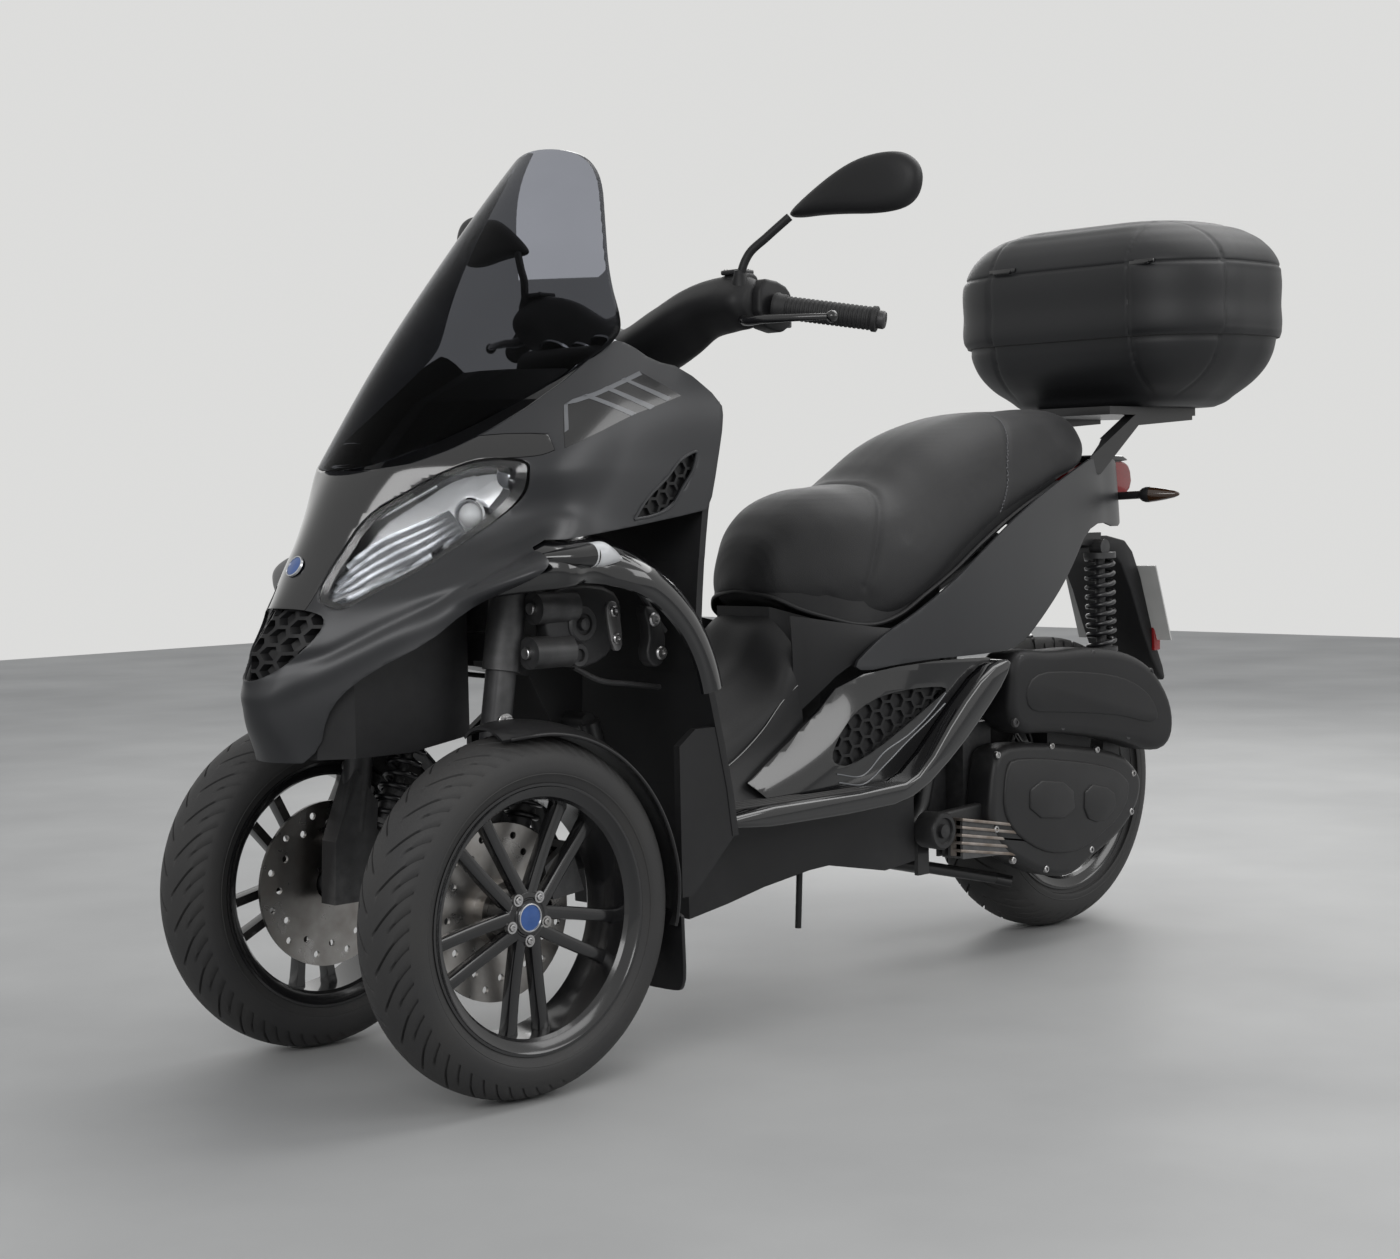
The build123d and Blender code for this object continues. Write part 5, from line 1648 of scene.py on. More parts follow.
def stitches(name, obj, path, pitch=9.0, length=6.0, radius=0.75):
    """Row of short threads that dip into the seam at both ends."""
    dense = on_surface(obj, spline(path, 400), 0.5)
    steps = np.concatenate([[0], np.cumsum(np.linalg.norm(np.diff(dense, axis=0), axis=1))])
    pieces = []
    at = pitch
    while at + length < steps[-1]:
        ends = [at, at + length * 0.25, at + length * 0.75, at + length]
        line = np.array([[np.interp(s, steps, dense[:, k]) for k in range(3)] for s in ends])
        line[0] -= [0, 0, 0.6]
        line[3] -= [0, 0, 0.6]
        pieces.append(tube_mesh("thread", line, radius, 6))
        at += pitch
    return joined(name, pieces)


def both_sides(half):
    """Path from the middle line down one side, made whole."""
    right = np.array(half, float)
    return np.vstack([(right * [-1, 1, 1])[::-1], right[1:]])


seat = refined(puffed(make_seat(), 0.0075, 4.0, 0.0045), 1)
passenger_half = [(0, 1246, 924), (70, 1233, 916), (112, 1212, 894), (138, 1188, 850), (150, 1170, 794)]
PASSENGER_SEAM = both_sides(passenger_half + [(152, 1150, 752)])
step_half = [(0, 902, 812), (60, 898, 810), (108, 884, 796)]
STEP_SEAM = both_sides(step_half + [(140, 858, 760), (158, 828, 700), (163, 800, 640)])
for seam, width, depth in ((PASSENGER_SEAM, 11, 2.6), (STEP_SEAM, 15, 4.2)):
    press_line(seat, on_surface(seat, spline(seam, 90)), width, depth)
thread = stitches("seat_stitching", seat, PASSENGER_SEAM)
dress(seat, VINYL, "seat", ("seat",), angle=60)
dress(thread, STITCH, "seat")

# Plastic base under the rider's cushion

base_line = [(30, 664, 640), (68, 676, 632), (98, 702, 614), (122, 738, 600)]
base_line += [(143, 780, 588), (152, 820, 586), (158, 870, 598), (162, 930, 628), (162, 1000, 662)]
base_line += [(158, 1080, 706), (148, 1180, 752), (128, 1330, 806)]
rim = spline(both_sides([(0, 662, 644)] + base_line), 140)
dress(tube_mesh("seat_base_rim", rim * [0.985, 1, 1] - [0, 0, 3], 3.6, 10), PLASTIC, "seat")
PAN_EDGES = ((0.95, -4), (0.93, 34), (0.915, 34), (0.935, -4))
pan_rows = [rim * [share, 1, 1] + [0, 0, lift] for share, lift in PAN_EDGES]
pan_points = np.stack(pan_rows, axis=1).reshape(-1, 3)
pan_faces = grid_faces(len(rim), 4, around=True)
pan_faces += [(3, 2, 1, 0), tuple(len(pan_points) - 4 + i for i in range(4))]
dress(bare_mesh("seat_base_pan", pan_points, pan_faces), PLASTIC, "seat")

# Top case: tub and lid as hollow shells with the pressed panels of the real one

CASE_Y = 1698.0
TUB_LEVELS = [(938, 0.60, 0.52), (944, 0.655, 0.57), (957, 0.72, 0.625), (980, 0.82, 0.77)]
TUB_LEVELS += [(1004, 0.892, 0.875), (1034, 0.945, 0.935), (1060, 0.965, 0.96)]
LID_LEVELS = [(1060.4, 0.985, 0.985), (1072, 0.998, 0.998), (1120, 1.0, 1.0), (1180, 0.998, 0.998)]
LID_LEVELS += [(1206, 0.972, 0.965), (1228, 0.92, 0.90), (1248, 0.835, 0.80)]
LID_LEVELS += [(1264, 0.70, 0.665), (1274, 0.50, 0.46), (1277, 0.30, 0.27)]
CASE_HALF_WIDTH, CASE_HALF_DEPTH, CASE_WALL = 300, 198, 4.5


def case_plan(half_x, half_y, z, count=240):
    """Rounded rectangle, evenly sampled, counted from the front middle."""
    r = half_y * 0.82
    flat_x, flat_y = half_x - r, half_y - r
    lengths = np.cumsum([0, flat_x, r * math.pi / 2, 2 * flat_y, r * math.pi / 2, flat_x])
    points = []
    for s in np.linspace(0, lengths[-1], count // 2 + 1):
        if s <= lengths[1]:
            points.append((s, -half_y))
        elif s <= lengths[2]:
            a = (s - lengths[1]) / r
            points.append((flat_x + r * math.sin(a), -flat_y - r * math.cos(a)))
        elif s <= lengths[3]:
            points.append((half_x, -flat_y + s - lengths[2]))
        elif s <= lengths[4]:
            a = (s - lengths[3]) / r
            points.append((flat_x + r * math.cos(a), flat_y + r * math.sin(a)))
        else:
            points.append((flat_x - (s - lengths[4]), half_y))
    right = np.array(points)
    left = right[-2:0:-1] * [-1, 1]
    return np.hstack([np.vstack([right, left]), np.full((count, 1), z)])


def case_skin(levels, rows, wall, count=360):
    lines = spline([list(level) for level in levels], rows)
    skin = []
    for z, wide, deep in lines:
        skin.append(case_plan(CASE_HALF_WIDTH * wide - wall, CASE_HALF_DEPTH * deep - wall, z, count))
    return np.array(skin)


def soft_step(value, width):
    return 1 / (1 + np.exp(-np.clip(value / width, -40, 40)))


def case_relief(skin):
    """Raised corner and middle panels, with grooves along their seams."""
    x, y, z = np.abs(skin[:, :, 0]), skin[:, :, 1], skin[:, :, 2]
    ahead = soft_step(-91 - y, 1.6)
    corner = ahead * soft_step(x - 160, 1.6) * soft_step(z - 1067, 1.4) * soft_step(1184 - z, 1.4)
    side = (1 - ahead) * soft_step(z - 1074, 2.0) * soft_step(1180 - z, 2.0)
    middle = soft_step(152 - x, 1.6) * soft_step(z - 1000, 3)
    low_corner = ahead * soft_step(x - 160, 1.6) * soft_step(1052 - z, 1.4) * soft_step(z - 966, 4)
    lift = 3.0 * corner - 1.5 * side + 0.5 * middle + 2.0 * low_corner
    grooves = np.exp(-(((x - 156) / 2.6) ** 2)) * soft_step(-40 - y, 4)
    grooves = grooves + np.exp(-(((y + 91) / 2.6) ** 2)) * soft_step(x - 160, 2)
    grooves = grooves + np.exp(-(((z - 1189) / 2.6) ** 2))
    lift = lift - 3.0 * np.clip(grooves, 0, 1) * soft_step(z - 960, 4) - 2.5
    outward = skin[:, :, :2] / (np.linalg.norm(skin[:, :, :2], axis=2, keepdims=True) + 1e-9)
    moved = skin.copy()
    moved[:, :, :2] += outward * lift[:, :, None]
    return moved


def case_shell(name, levels, rows, wall, closed_low):
    """Hollow shell, closed below for the tub or above for the lid."""
    outer = case_relief(case_skin(levels, rows, 0))
    inner = case_skin(levels, max(12, rows // 3), wall)
    if closed_low:
        inner[:, :, 2] = np.maximum(inner[:, :, 2], levels[0][0] + wall)
        layers = list(outer) + list(inner[::-1])
    else:
        inner[:, :, 2] = np.minimum(inner[:, :, 2], levels[-1][0] - wall)
        layers = list(outer[::-1]) + list(inner)
    count = outer.shape[1]
    points = np.vstack(layers) + [0, CASE_Y, 0]
    total = len(layers)
    faces = grid_faces(total, count, around=True)
    first, last = len(points), len(points) + 1
    caps = [points[:count].mean(axis=0), points[-count:].mean(axis=0)]
    points = np.vstack([points, caps])
    faces += [(first, (c + 1) % count, c) for c in range(count)]
    faces += [(last, (total - 1) * count + c, (total - 1) * count + (c + 1) % count) for c in range(count)]
    return bare_mesh(name, points, faces)


tub = case_shell("case_tub_dressed", TUB_LEVELS, 44, CASE_WALL, True)
lid = case_shell("case_lid_dressed", LID_LEVELS, 90, CASE_WALL, False)
dress(tub, CASE_PLASTIC, "root", ("case_tub",), angle=50)
dress(lid, CASE_PLASTIC, "case_lid", ("case_lid",), angle=50)
latches = []
for x, y, z in ((-125, 1505, 1197), (176, 1511, 1190)):
    for wide, drop, out in ((30, 0, 0), (20, -2, -2.5)):
        low, high = (x - wide, y - 3 + out, z - 4 + drop), (x + wide, y + 4, z + 4 + drop)
        latches.append(rounded_block("latch", low, high, 1.6, 2))
dress(joined("case_latches", latches), GLOSS, "case_lid")
lock_face = [(-4, 0.3), (-4, 13), (2, 13), (4, 11), (4, 4), (1.5, 3.5), (1.5, 0.3)]
dress(facing_turn("case_lock", lock_face, (0, 1892, 1082), (0, 1, 0)), STEEL, "case_lid")
seal_ring = case_plan(288, 189.5, 1061, 120)
gasket = spline(np.vstack([seal_ring, seal_ring[:1]]) + [0, CASE_Y, 0], 200)
dress(tube_mesh("case_seal", gasket, 2.0, 8, cap=False), RUBBER, "root")

# Handlebar cover, switches, levers, grips and mirrors

BAR_SECTIONS = [
    (0, 434, 1000, 60, 44),
    (70, 438, 1020, 58, 50),
    (130, 444, 1046, 51, 50),
    (170, 448, 1062, 45, 43),
    (215, 451, 1067, 42, 40),
    (244, 454, 1067, 38, 35),
    (253, 454, 1067, 26, 24),
]

BAR_STATIONS, BAR_SIDES = 110, 40


def bar_cover():
    half = [list(s) for s in BAR_SECTIONS]
    full = [[-s[0]] + s[1:] for s in half[:0:-1]] + half
    rings = []
    angle = np.linspace(0, 2 * math.pi, BAR_SIDES, endpoint=False)
    for x, y, z, deep, high in spline(full, BAR_STATIONS):
        squash = 1 - 0.10 * np.sin(2 * angle) ** 2
        across, up = deep * squash * np.cos(angle), high * squash * np.sin(angle)
        rings.append(np.stack([np.full(BAR_SIDES, x), y + across, z + up], axis=1))
    return loft("cover", rings)


bar_parts = [bar_cover(), tube_mesh("stem", [(0, 348, 874.5), (0, 407, 990), (0, 420, 1016)], 22, 28)]
SWITCH_SIDE = [(446, 1034), (512, 1020), (520, 1076), (500, 1096), (450, 1102)]
for side in (1, -1):
    bar_parts.append(moulding(softened(SWITCH_SIDE, 1), (side * 234, side * 267), 6.0, 4))
    perch = [(430, 1078), (474, 1074), (478, 1104), (462, 1112), (434, 1106)]
    bar_parts.append(moulding(softened(perch, 1), (side * 196, side * 240), 5.0, 3))
dress(joined("handlebar_dressed", bar_parts), PLASTIC, "handlebar", ("handlebar",), angle=42)
controls, caps, screws = [], [], []
for side in (1, -1):
    for z, tall in ((1084, 5), (1062, 8), (1038, 6)):
        low = (min(side * 243, side * 259), 508 if z < 1080 else 498, z - tall)
        high = (max(side * 243, side * 259), 523 if z < 1080 else 512, z + tall)
        controls.append(rounded_block("switch", low, high, 2.4, 3))
    low, high = sorted((side * 200, side * 236))
    caps.append(rounded_block("cap", (low, 436, 1108), (high, 470, 1115), 2.5, 3))
    screw = [(-3, 0.2), (-3, 3), (1.2, 2.8), (1.6, 1.4), (0.4, 1.2), (0.4, 0.2)]
    for x, y in ((206, 442), (230, 464)):
        screws.append(facing_turn("screw", screw, (side * x, y, 1115), (0, 0, 1), 16))
dress(joined("switch_buttons", controls), GLOSS, "handlebar")
dress(joined("reservoir_caps", caps), DARK_ALLOY, "handlebar")
dress(joined("reservoir_screws", screws), STEEL, "handlebar")

MIRROR_OUTLINE = [(-126, -38), (-122, -24), (-40, 26), (16, 42), (70, 40)]
MIRROR_OUTLINE += [(96, 10), (84, -32), (36, -44), (-60, -36)]


def mirror_piece(name, layers, side):
    """Stack of scaled outlines on the mirror's plane, from the glass to the back of the shell."""
    outline = softened(MIRROR_OUTLINE, 3)
    middle = np.array([-2.0, 0.0])
    origin = np.array([415.0, 505, 1221])
    across, out = np.array([0.98, 0.17, 0]), np.array([0.17, -0.98, 0])
    rings = []
    for depth, scale in layers:
        flat = middle + (outline - middle) * scale
        ring = origin + flat[:, :1] * across + flat[:, 1:] * np.array([0, 0, 1.0]) + depth * out
        rings.append(ring * [side, 1, 1])
    return loft(name, rings)


MIRROR_SHELL = [(-10.5, 0.93), (-12.6, 0.945), (-12.8, 0.965), (-11.5, 0.99), (-6, 1.0)]
MIRROR_SHELL += [(1, 0.98), (6, 0.92), (10, 0.8), (12.2, 0.6), (13, 0.3)]
MIRROR_PANE = [(-10.0, 0.93), (-11.2, 0.93), (-11.3, 0.92)]


for side, label in ((1, "left"), (-1, "right")):
    flip = np.array([side, 1, 1])
    start, end = np.array([270.0, 473, 1060.5]), np.array([398.0, 552, 1036])
    way = (end - start) / np.linalg.norm(end - start)
    long = np.linalg.norm(end - start)
    profile = [(0, 0.3), (0, 19), (3, 20.3), (7, 20.3), (10, 19), (19, 18.4), (20, 16.2)]
    at = 22.0
    while at < long - 12:
        profile += [(at, 16.0), (at + 1.0, 17.0), (at + 3.6, 17.0), (at + 4.6, 16.0)]
        at += 6.4
    profile += [(long - 9, 16.4), (long - 7, 18.5), (long - 1, 18.5), (long, 17), (long, 0.3)]
    grip = facing_turn(f"grip_{label}_dressed", profile, start * flip, way * flip, 40)
    dress(grip, GRIP, "handlebar", ("grips",), 40)
    weight = [(0, 0.3), (0, 12.5), (2, 13), (9, 13), (11.4, 11), (12, 4), (10, 3.4), (10, 0.3)]
    dress(facing_turn(f"bar_end_{label}", weight, end * flip, way * flip, 32), DARK_ALLOY, "handlebar")
    route = [(238, 440, 1046), (252, 434, 1040), (284, 434, 1039.5)]
    route += [(318, 444, 1039), (352, 461, 1039), (376, 480, 1039)]
    line = spline([np.array(p) * flip for p in route], 50)
    thick = np.interp(np.linspace(0, 1, 50), [0, 0.2, 0.6, 1], [8.5, 7.0, 5.4, 4.6])
    ball_line = [(-9, 0.3), (-7, 5.6), (-2, 8.6), (3, 8.4), (7, 5.4), (8.8, 0.3)]
    ball = facing_turn("ball", ball_line, line[-1], way * flip, 24)
    lever = joined(f"lever_{label}_dressed", [tube_mesh("blade", line, thick, 14), ball])
    dress(lever, WHEEL_BLACK, "handlebar", ("levers",), 45)
    stem_route = [(236, 440, 1092), (240, 440, 1112), (248, 446, 1134), (272, 460, 1158), (300, 478, 1185)]
    stem = tube_mesh("stem", spline([np.array(p) * flip for p in stem_route], 40), 6.2, 14)
    boot_line = [(-8, 0.3), (-8, 13), (0, 12.5), (8, 10), (16, 8.2), (17, 6), (17, 0.3)]
    boot = facing_turn("boot", boot_line, (236 * side, 440, 1096), (0.02 * side, 0.0, 1.0), 28)
    head = mirror_piece("head", MIRROR_SHELL, side)
    housing = joined(f"mirror_{label}_dressed", [stem, boot, head])
    dress(housing, PLASTIC, "handlebar", ("mirrors",), 50)
    dress(mirror_piece(f"mirror_glass_{label}", MIRROR_PANE, side), MIRROR_GLASS, "handlebar")


# Front mudguards: thin rolled arches with a beaded edge, and the flap behind each wheel


GUARD_HALF, GUARD_RINGS = 60.0, 100
GUARD_FIRST, GUARD_LAST = math.radians(102), math.radians(-10)
FLAP_EDGE = [(-53, 218), (53, 218), (54, 200), (53, 130), (45, 108), (34, 104), (-34, 104), (-45, 108)]
FLAP_EDGE += [(-53, 130), (-54, 200)]
FLAP_LAYERS = ((0, 0.985), (1.2, 1.0), (4.8, 1.0), (6, 0.985))


def guard_station(s):
    """Angle round the wheel and share of the full width, from the front end to the rear one."""
    taper = 1 - 0.34 * max(0.0, (0.10 - s) / 0.10) ** 2 - 0.10 * max(0.0, (s - 0.85) / 0.15)
    return GUARD_FIRST + (GUARD_LAST - GUARD_FIRST) * s, taper


def round_wheel(line, angle):
    """Points of (x, radius) turned about the front axle."""
    return [(x, r * math.cos(angle), FRONT_RADIUS + r * math.sin(angle)) for x, r in line]


def guard_piece(name, x, body):
    rings = []
    for s in np.linspace(0, 1, GUARD_RINGS):
        angle, taper = guard_station(s)
        profile = []
        for across in np.linspace(-1, 1, 23):
            profile.append((x + across * GUARD_HALF * taper, 260.0 - 15.5 * abs(across) ** 2.4))
        for across in np.linspace(1, -1, 23):
            profile.append((x + across * (GUARD_HALF - 3) * taper, 256.4 - 15.0 * abs(across) ** 2.4))
        rings.append(round_wheel(profile, angle))
    beads = []
    shell = loft("guard", rings, first_reversed=True)
    for side in (-1, 1):
        line = []
        for s in np.linspace(0.02, 0.99, 70):
            angle, taper = guard_station(s)
            line += round_wheel([(x + side * (GUARD_HALF - 2.0) * taper, 243.4)], angle)
        beads.append(tube_mesh("bead", line, 2.6, 8))
    rows = []
    for depth, share in FLAP_LAYERS:
        sag = [(a, 0.0011 * (218 - b) ** 2 * 0.4, b) for a, b in softened(FLAP_EDGE, 2)]
        rows.append([(x + a * share, 249 + depth + back, b) for a, back, b in sag])
    flap = loft("flap", rows, first_reversed=True)
    node = name.replace("guard", "fender").replace("_dressed", "")
    dress(joined(name, [shell, flap] + beads), GUARD, body, (node,), angle=40)


# Front springs, dampers and the bolts of the tilting arms


def coil(name, low, top, radius, wire, turns, first=0.0, last=1.0, sides=10):
    """Round wire wound about the line between two points."""
    low, top = np.array(low, float), np.array(top, float)
    axis = top - low
    long = np.linalg.norm(axis)
    axis /= long
    side = np.cross(axis, [1.0, 0, 0])
    side /= np.linalg.norm(side)
    other = np.cross(axis, side)
    share = np.linspace(0, 1, int(turns * 28))
    line = []
    for s in share:
        flat = 0.5 * (1 - math.cos(math.pi * min(1, s * turns / 1.2))) if s * turns < 1.2 else 1.0
        along = long * (first + (last - first) * s) - wire * (1 - flat)
        turn = 2 * math.pi * turns * s
        line.append(low + axis * along + radius * (math.cos(turn) * side + math.sin(turn) * other))
    return tube_mesh(name, line, wire, sides)


def rod_piece(start, end, radius, sides=28):
    return tube_mesh("rod", [start, end], radius, sides)


KINGPIN_LEAN = math.radians(9)
for side, label in ((1, "left"), (-1, "right")):
    knuckle = f"knuckle_{label}"
    guard_piece(f"guard_{label}_dressed", side * WHEEL_X, knuckle)
    low, top = np.array([side * 146.0, 62, 318]), np.array([side * 146.0, 128, 452])
    axis = (top - low) / np.linalg.norm(top - low)
    parts = [
        rod_piece(low, low + axis * 60, 17),
        rod_piece(low, top, 8),
        rod_piece(top - axis * 10, top, 28),
        rod_piece(low + axis * 4, low + axis * 11, 28),
    ]
    spring = joined(f"front_spring_{label}", [coil("wire", low, top, 21.5, 4.3, 6.5, 0.09, 0.92)])
    dress(spring, SPRING_BLACK, knuckle, (f"shock_{label}",), 50)
    dress(joined(f"front_damper_{label}", parts), DARK_ALLOY, knuckle)
    bolts = []
    hexagon = [(-6, 0.3), (-6, 13), (0, 13), (1, 12), (1, 8.2), (8, 8.2), (9, 7), (9, 0.3)]
    for y, z in ((104, 584), (114, 644)):
        for x in (0, 190):
            bolts.append(facing_turn("bolt", hexagon, (side * x, y - 36, z), (0, -1, 0), 24))
    dress(joined(f"arm_bolts_{label}", bolts), STEEL)
    pinch = []
    for height in (60, 170, 250):
        spot = (side * 171, height * math.tan(KINGPIN_LEAN), FRONT_RADIUS + height)
        pinch.append(facing_turn("pinch", hexagon, spot, (side, 0, 0), 24))
    dress(joined(f"knuckle_bolts_{label}", pinch), STEEL, knuckle)

LOWER_PIPE = ([(186, 150, 560), (190, 190, 540), (188, 250, 530), (176, 320, 520)], 30, 4.0)
UPPER_PIPE = ([(120, 60, 600), (160, 120, 690), (190, 230, 690), (190, 320, 600)], 40, 4.5)
castings, plates, plate_bolts = [], [], []
for side in (1, -1):
    block = [(96, 664), (150, 676), (214, 668), (236, 640), (222, 590)]
    block += [(196, 566), (150, 556), (112, 574), (92, 612)]
    castings.append(moulding(softened(block, 1), (side * 168, side * 198), 7.0, 3))
    boss = [(-14, 0.3), (-14, 25), (0, 25), (3, 22), (3, 15), (-1, 14), (-1, 9), (6, 8), (7, 0.3)]
    castings.append(facing_turn("boss", boss, (side * 200, 156, 619), (side, 0, 0), 40))
    boss = [(-14, 0.3), (-14, 17), (0, 17), (3, 15), (3, 9), (-1, 8), (-1, 0.3)]
    castings.append(facing_turn("boss", boss, (side * 200, 147, 577), (side, 0, 0), 32))
    strap = [(203, 650), (221, 646), (228, 590), (222, 578), (208, 580), (197, 636)]
    plates.append(moulding(softened(strap, 1), (side * 196, side * 203), 2.0, 2))
    for y, z in ((211, 634), (215, 596)):
        head = [(-2, 0.3), (-2, 7.5), (3, 7.5), (4.5, 6), (4.5, 3.6), (2, 3.4), (2, 0.3)]
        plate_bolts.append(facing_turn("head", head, (side * 203, y, z), (side, 0, 0), 24))
    bracket = [(268, 640), (296, 636), (312, 600), (310, 560), (290, 548), (272, 566), (282, 600)]
    castings.append(moulding(softened(bracket, 1), (side * 180, side * 202), 4.0, 3))
    for y, z in ((288, 619), (300, 571)):
        head = [(-2, 0.3), (-2, 10), (2, 10), (4, 8), (4, 5), (1, 4.6), (1, 0.3)]
        plate_bolts.append(facing_turn("head", head, (side * 202, y, z), (side, 0, 0), 24))
    for run, count, radius in (LOWER_PIPE, UPPER_PIPE):
        line = spline([(side * x, y, z) for x, y, z in run], count)
        castings.append(tube_mesh("pipe", line, radius, 10))
dress(joined("tilt_castings", castings), DARK_ALLOY)
dress(joined("tilt_plates", plates), ALLOY)
dress(joined("tilt_plate_bolts", plate_bolts), STEEL)

# Transmission cover and air box on the left of the rear wheel

TRANSMISSION = [(-363, 205), (-350, 330), (-323, 374), (3, 330), (63, 290), (78, 262), (60, 215)]
TRANSMISSION += [(0, 172), (-75, 146), (-134, 118), (-220, 132)]
AIR_BOX = [(-335, 384), (-330, 500), (-300, 528), (-220, 516), (-110, 518), (4, 504), (84, 470), (140, 404)]
AIR_BOX += [(142, 340), (98, 314), (0, 345), (-200, 378)]
cover = [moulding(smoothed_outline(TRANSMISSION), (106, 168), 15.0, 5)]
inner_line = [(-330, 236), (-322, 322), (-300, 346), (-40, 308), (20, 280)]
inner_line += [(34, 256), (10, 214), (-60, 180), (-130, 160), (-230, 172)]
cover.append(moulding(smoothed_outline(inner_line), (160, 172), 4.0, 3))
for outline in (
    [(-262, 236), (-258, 300), (-140, 286), (-134, 222)],
    [(-108, 220), (-104, 280), (-20, 262), (-14, 226), (-60, 204)],
):
    cover.append(moulding(smoothed_outline(outline, 1), (168, 175), 2.5, 3))
boss = [(-40, 0.3), (-40, 30), (-4, 31), (0, 28), (0, 22), (-4, 20), (-4, 12), (2, 11), (3, 0.3)]
cover.append(facing_turn("boss", boss, (166, REAR_Y - 478, 238), (1, 0, 0), 48))
snout = behind([(-500, 215), (-500, 262), (-340, 270), (-340, 225)])
cover.append(moulding(snout, (126, 146), 5, 3))
cover.append(tube_mesh("axle", [(26, REAR_Y, 262), (112, REAR_Y, 262)], 14, 24))
cover.append(outline_solid(behind([(30, 310), (85, 290), (72, 399), (48, 399)]), 84, 112, "x"))
dress(joined("transmission_dressed", cover), ENGINE_BLACK, "root", ("transmission",), 40)


def heads_on(name, head, x, spots):
    """Bolt heads that face left, at (y, z) spots given from the rear axle's station."""
    heads = [facing_turn("head", head, (x, REAR_Y + y, z), (1, 0, 0), 20) for y, z in spots]
    return joined(name, heads)


head = [(-3, 0.3), (-3, 6), (3.0, 6), (4.2, 5), (4.2, 3), (2, 2.8), (2, 0.3)]
spots = [(-345, 226), (-338, 350), (-190, 352), (-60, 334), (48, 282)]
spots += [(40, 214), (-80, 160), (-210, 142), (-300, 168)]
dress(heads_on("transmission_bolts", head, 165, spots), STEEL)
fins = []
for index in range(5):
    z = 250 - 13 * index
    fin = behind([(-436, z), (-436, z + 5), (-212 + 6 * index, z - 34), (-216 + 6 * index, z - 39)])
    fins.append(moulding(fin, (148, 170 - index), 1.2, 2))
fins.append(outline_solid(behind([(-432, 190), (-432, 252), (-220, 214), (-226, 176)]), 140, 152, "x"))
dress(joined("cooling_fins", fins), FIN_ALLOY)

air_parts = [moulding(smoothed_outline(AIR_BOX), (118, 194), 17.0, 5)]
air_parts.append(outline_solid(behind([(-180, 330), (-180, 400), (-60, 400), (-60, 330)]), 118, 150, "x"))
ridge = [(-300, 420), (-286, 486), (-150, 480), (-20, 462), (60, 428)]
ridge += [(92, 380), (60, 372), (-40, 396), (-200, 412)]
air_parts.append(moulding(smoothed_outline(ridge), (186, 196), 4.0, 3))
dress(joined("air_box_dressed", air_parts), PLASTIC, "root", ("air_box",), 40)
head = [(-4, 0.3), (-4, 8), (1.0, 8), (2.0, 7), (2.0, 3.6), (0.4, 3.4), (0.4, 0.3)]
spots = [(-318, 404), (-300, 508), (-100, 504), (70, 462), (124, 366), (0, 356), (-190, 388)]
dress(heads_on("air_box_screws", head, 190, spots), DARK_ALLOY)

# Rear springs

springs, dampers = [], []
for side in (1, -1):
    low, top = np.array([side * 94.0, 1500, 400]), np.array([side * 94.0, 1494, 690])
    axis = (top - low) / np.linalg.norm(top - low)
    springs.append(coil("wire", low, top, 23.5, 4.6, 9.5, 0.36, 0.92))
    dampers.append(rod_piece(low, low + axis * 110, 19))
    dampers.append(rod_piece(low, top, 9))
    dampers.append(rod_piece(low + axis * 98, low + axis * 106, 29))
    dampers.append(rod_piece(low + axis * 266, low + axis * 276, 29))
    dampers.append(tube_mesh("eye", [low + [-13, 0, 6], low + [13, 0, 6]], 14, 24))
    dampers.append(tube_mesh("eye", [top + [-13, 0, -4], top + [13, 0, -4]], 14, 24))
dress(joined("rear_springs_dressed", springs), SPRING_BLACK, "root", ("rear_shocks",), 50)
dress(joined("rear_dampers", dampers), DARK_ALLOY)

# Tail lamp, rear indicators and reflector

LAMP_SIDE = behind([(112, 846), (176, 842), (200, 832), (206, 794), (178, 774), (112, 774)])
tail = moulding(softened(LAMP_SIDE, 1), (-62, 62), 7.0, 4, "tail_lamp_dressed")
dress(tail, RED, "root", ("tail_lamp",), 40)
rim_side = behind([(108, 852), (170, 850), (188, 842), (150, 838), (108, 838)])
dress(moulding(rim_side, (-66, 66), 3, 2, "tail_lamp_rim"), GLOSS)
stalks, rear_lenses, stems = [], [], []
for side in (1, -1):
    way = np.array([side * 68.0, 17, 0])
    way /= np.linalg.norm(way)
    egg = [(-6, 0.3), (-6, 7), (0, 12), (6, 14), (14, 14)]
    socket = (side * 122, REAR_Y + 150, 778)
    stalks.append(facing_turn("pod", egg + [(14, 0.3)], socket, way, 28))
    glass_line = [(14.2, 0.3), (14.2, 13.8), (26, 12.5), (44, 9.6), (60, 6.2), (68, 3.0), (70, 0.3)]
    rear_lenses.append(facing_turn("glass", glass_line, socket, way, 28))
    stem = [(side * x, REAR_Y + 150, z) for x, z in ((60, 776), (118, 778))]
    stems.append(tube_mesh("stem", stem, 7.2, 18))
dress(joined("rear_indicator_pods", stalks + stems), PLASTIC, "root", ("indicators",), 40)
dress(joined("rear_indicator_lenses", rear_lenses), SMOKED_AMBER)
holder = [(-11, 705), (160, 705), (206, 664), (262, 508), (298, 436)]
holder += [(286, 424), (240, 488), (170, 640), (120, 684), (-11, 684)]
guard = moulding(smoothed_outline(holder, 1), (-68, 68), 5, 3, "rear_mudguard_dressed")
dress(guard, PLASTIC, "root", ("rear_mudguard",), 40)
reflector = rounded_block("side_reflector", (64, 1692, 486), (74, 1712, 556), 3, 3)
dress(reflector, RED)
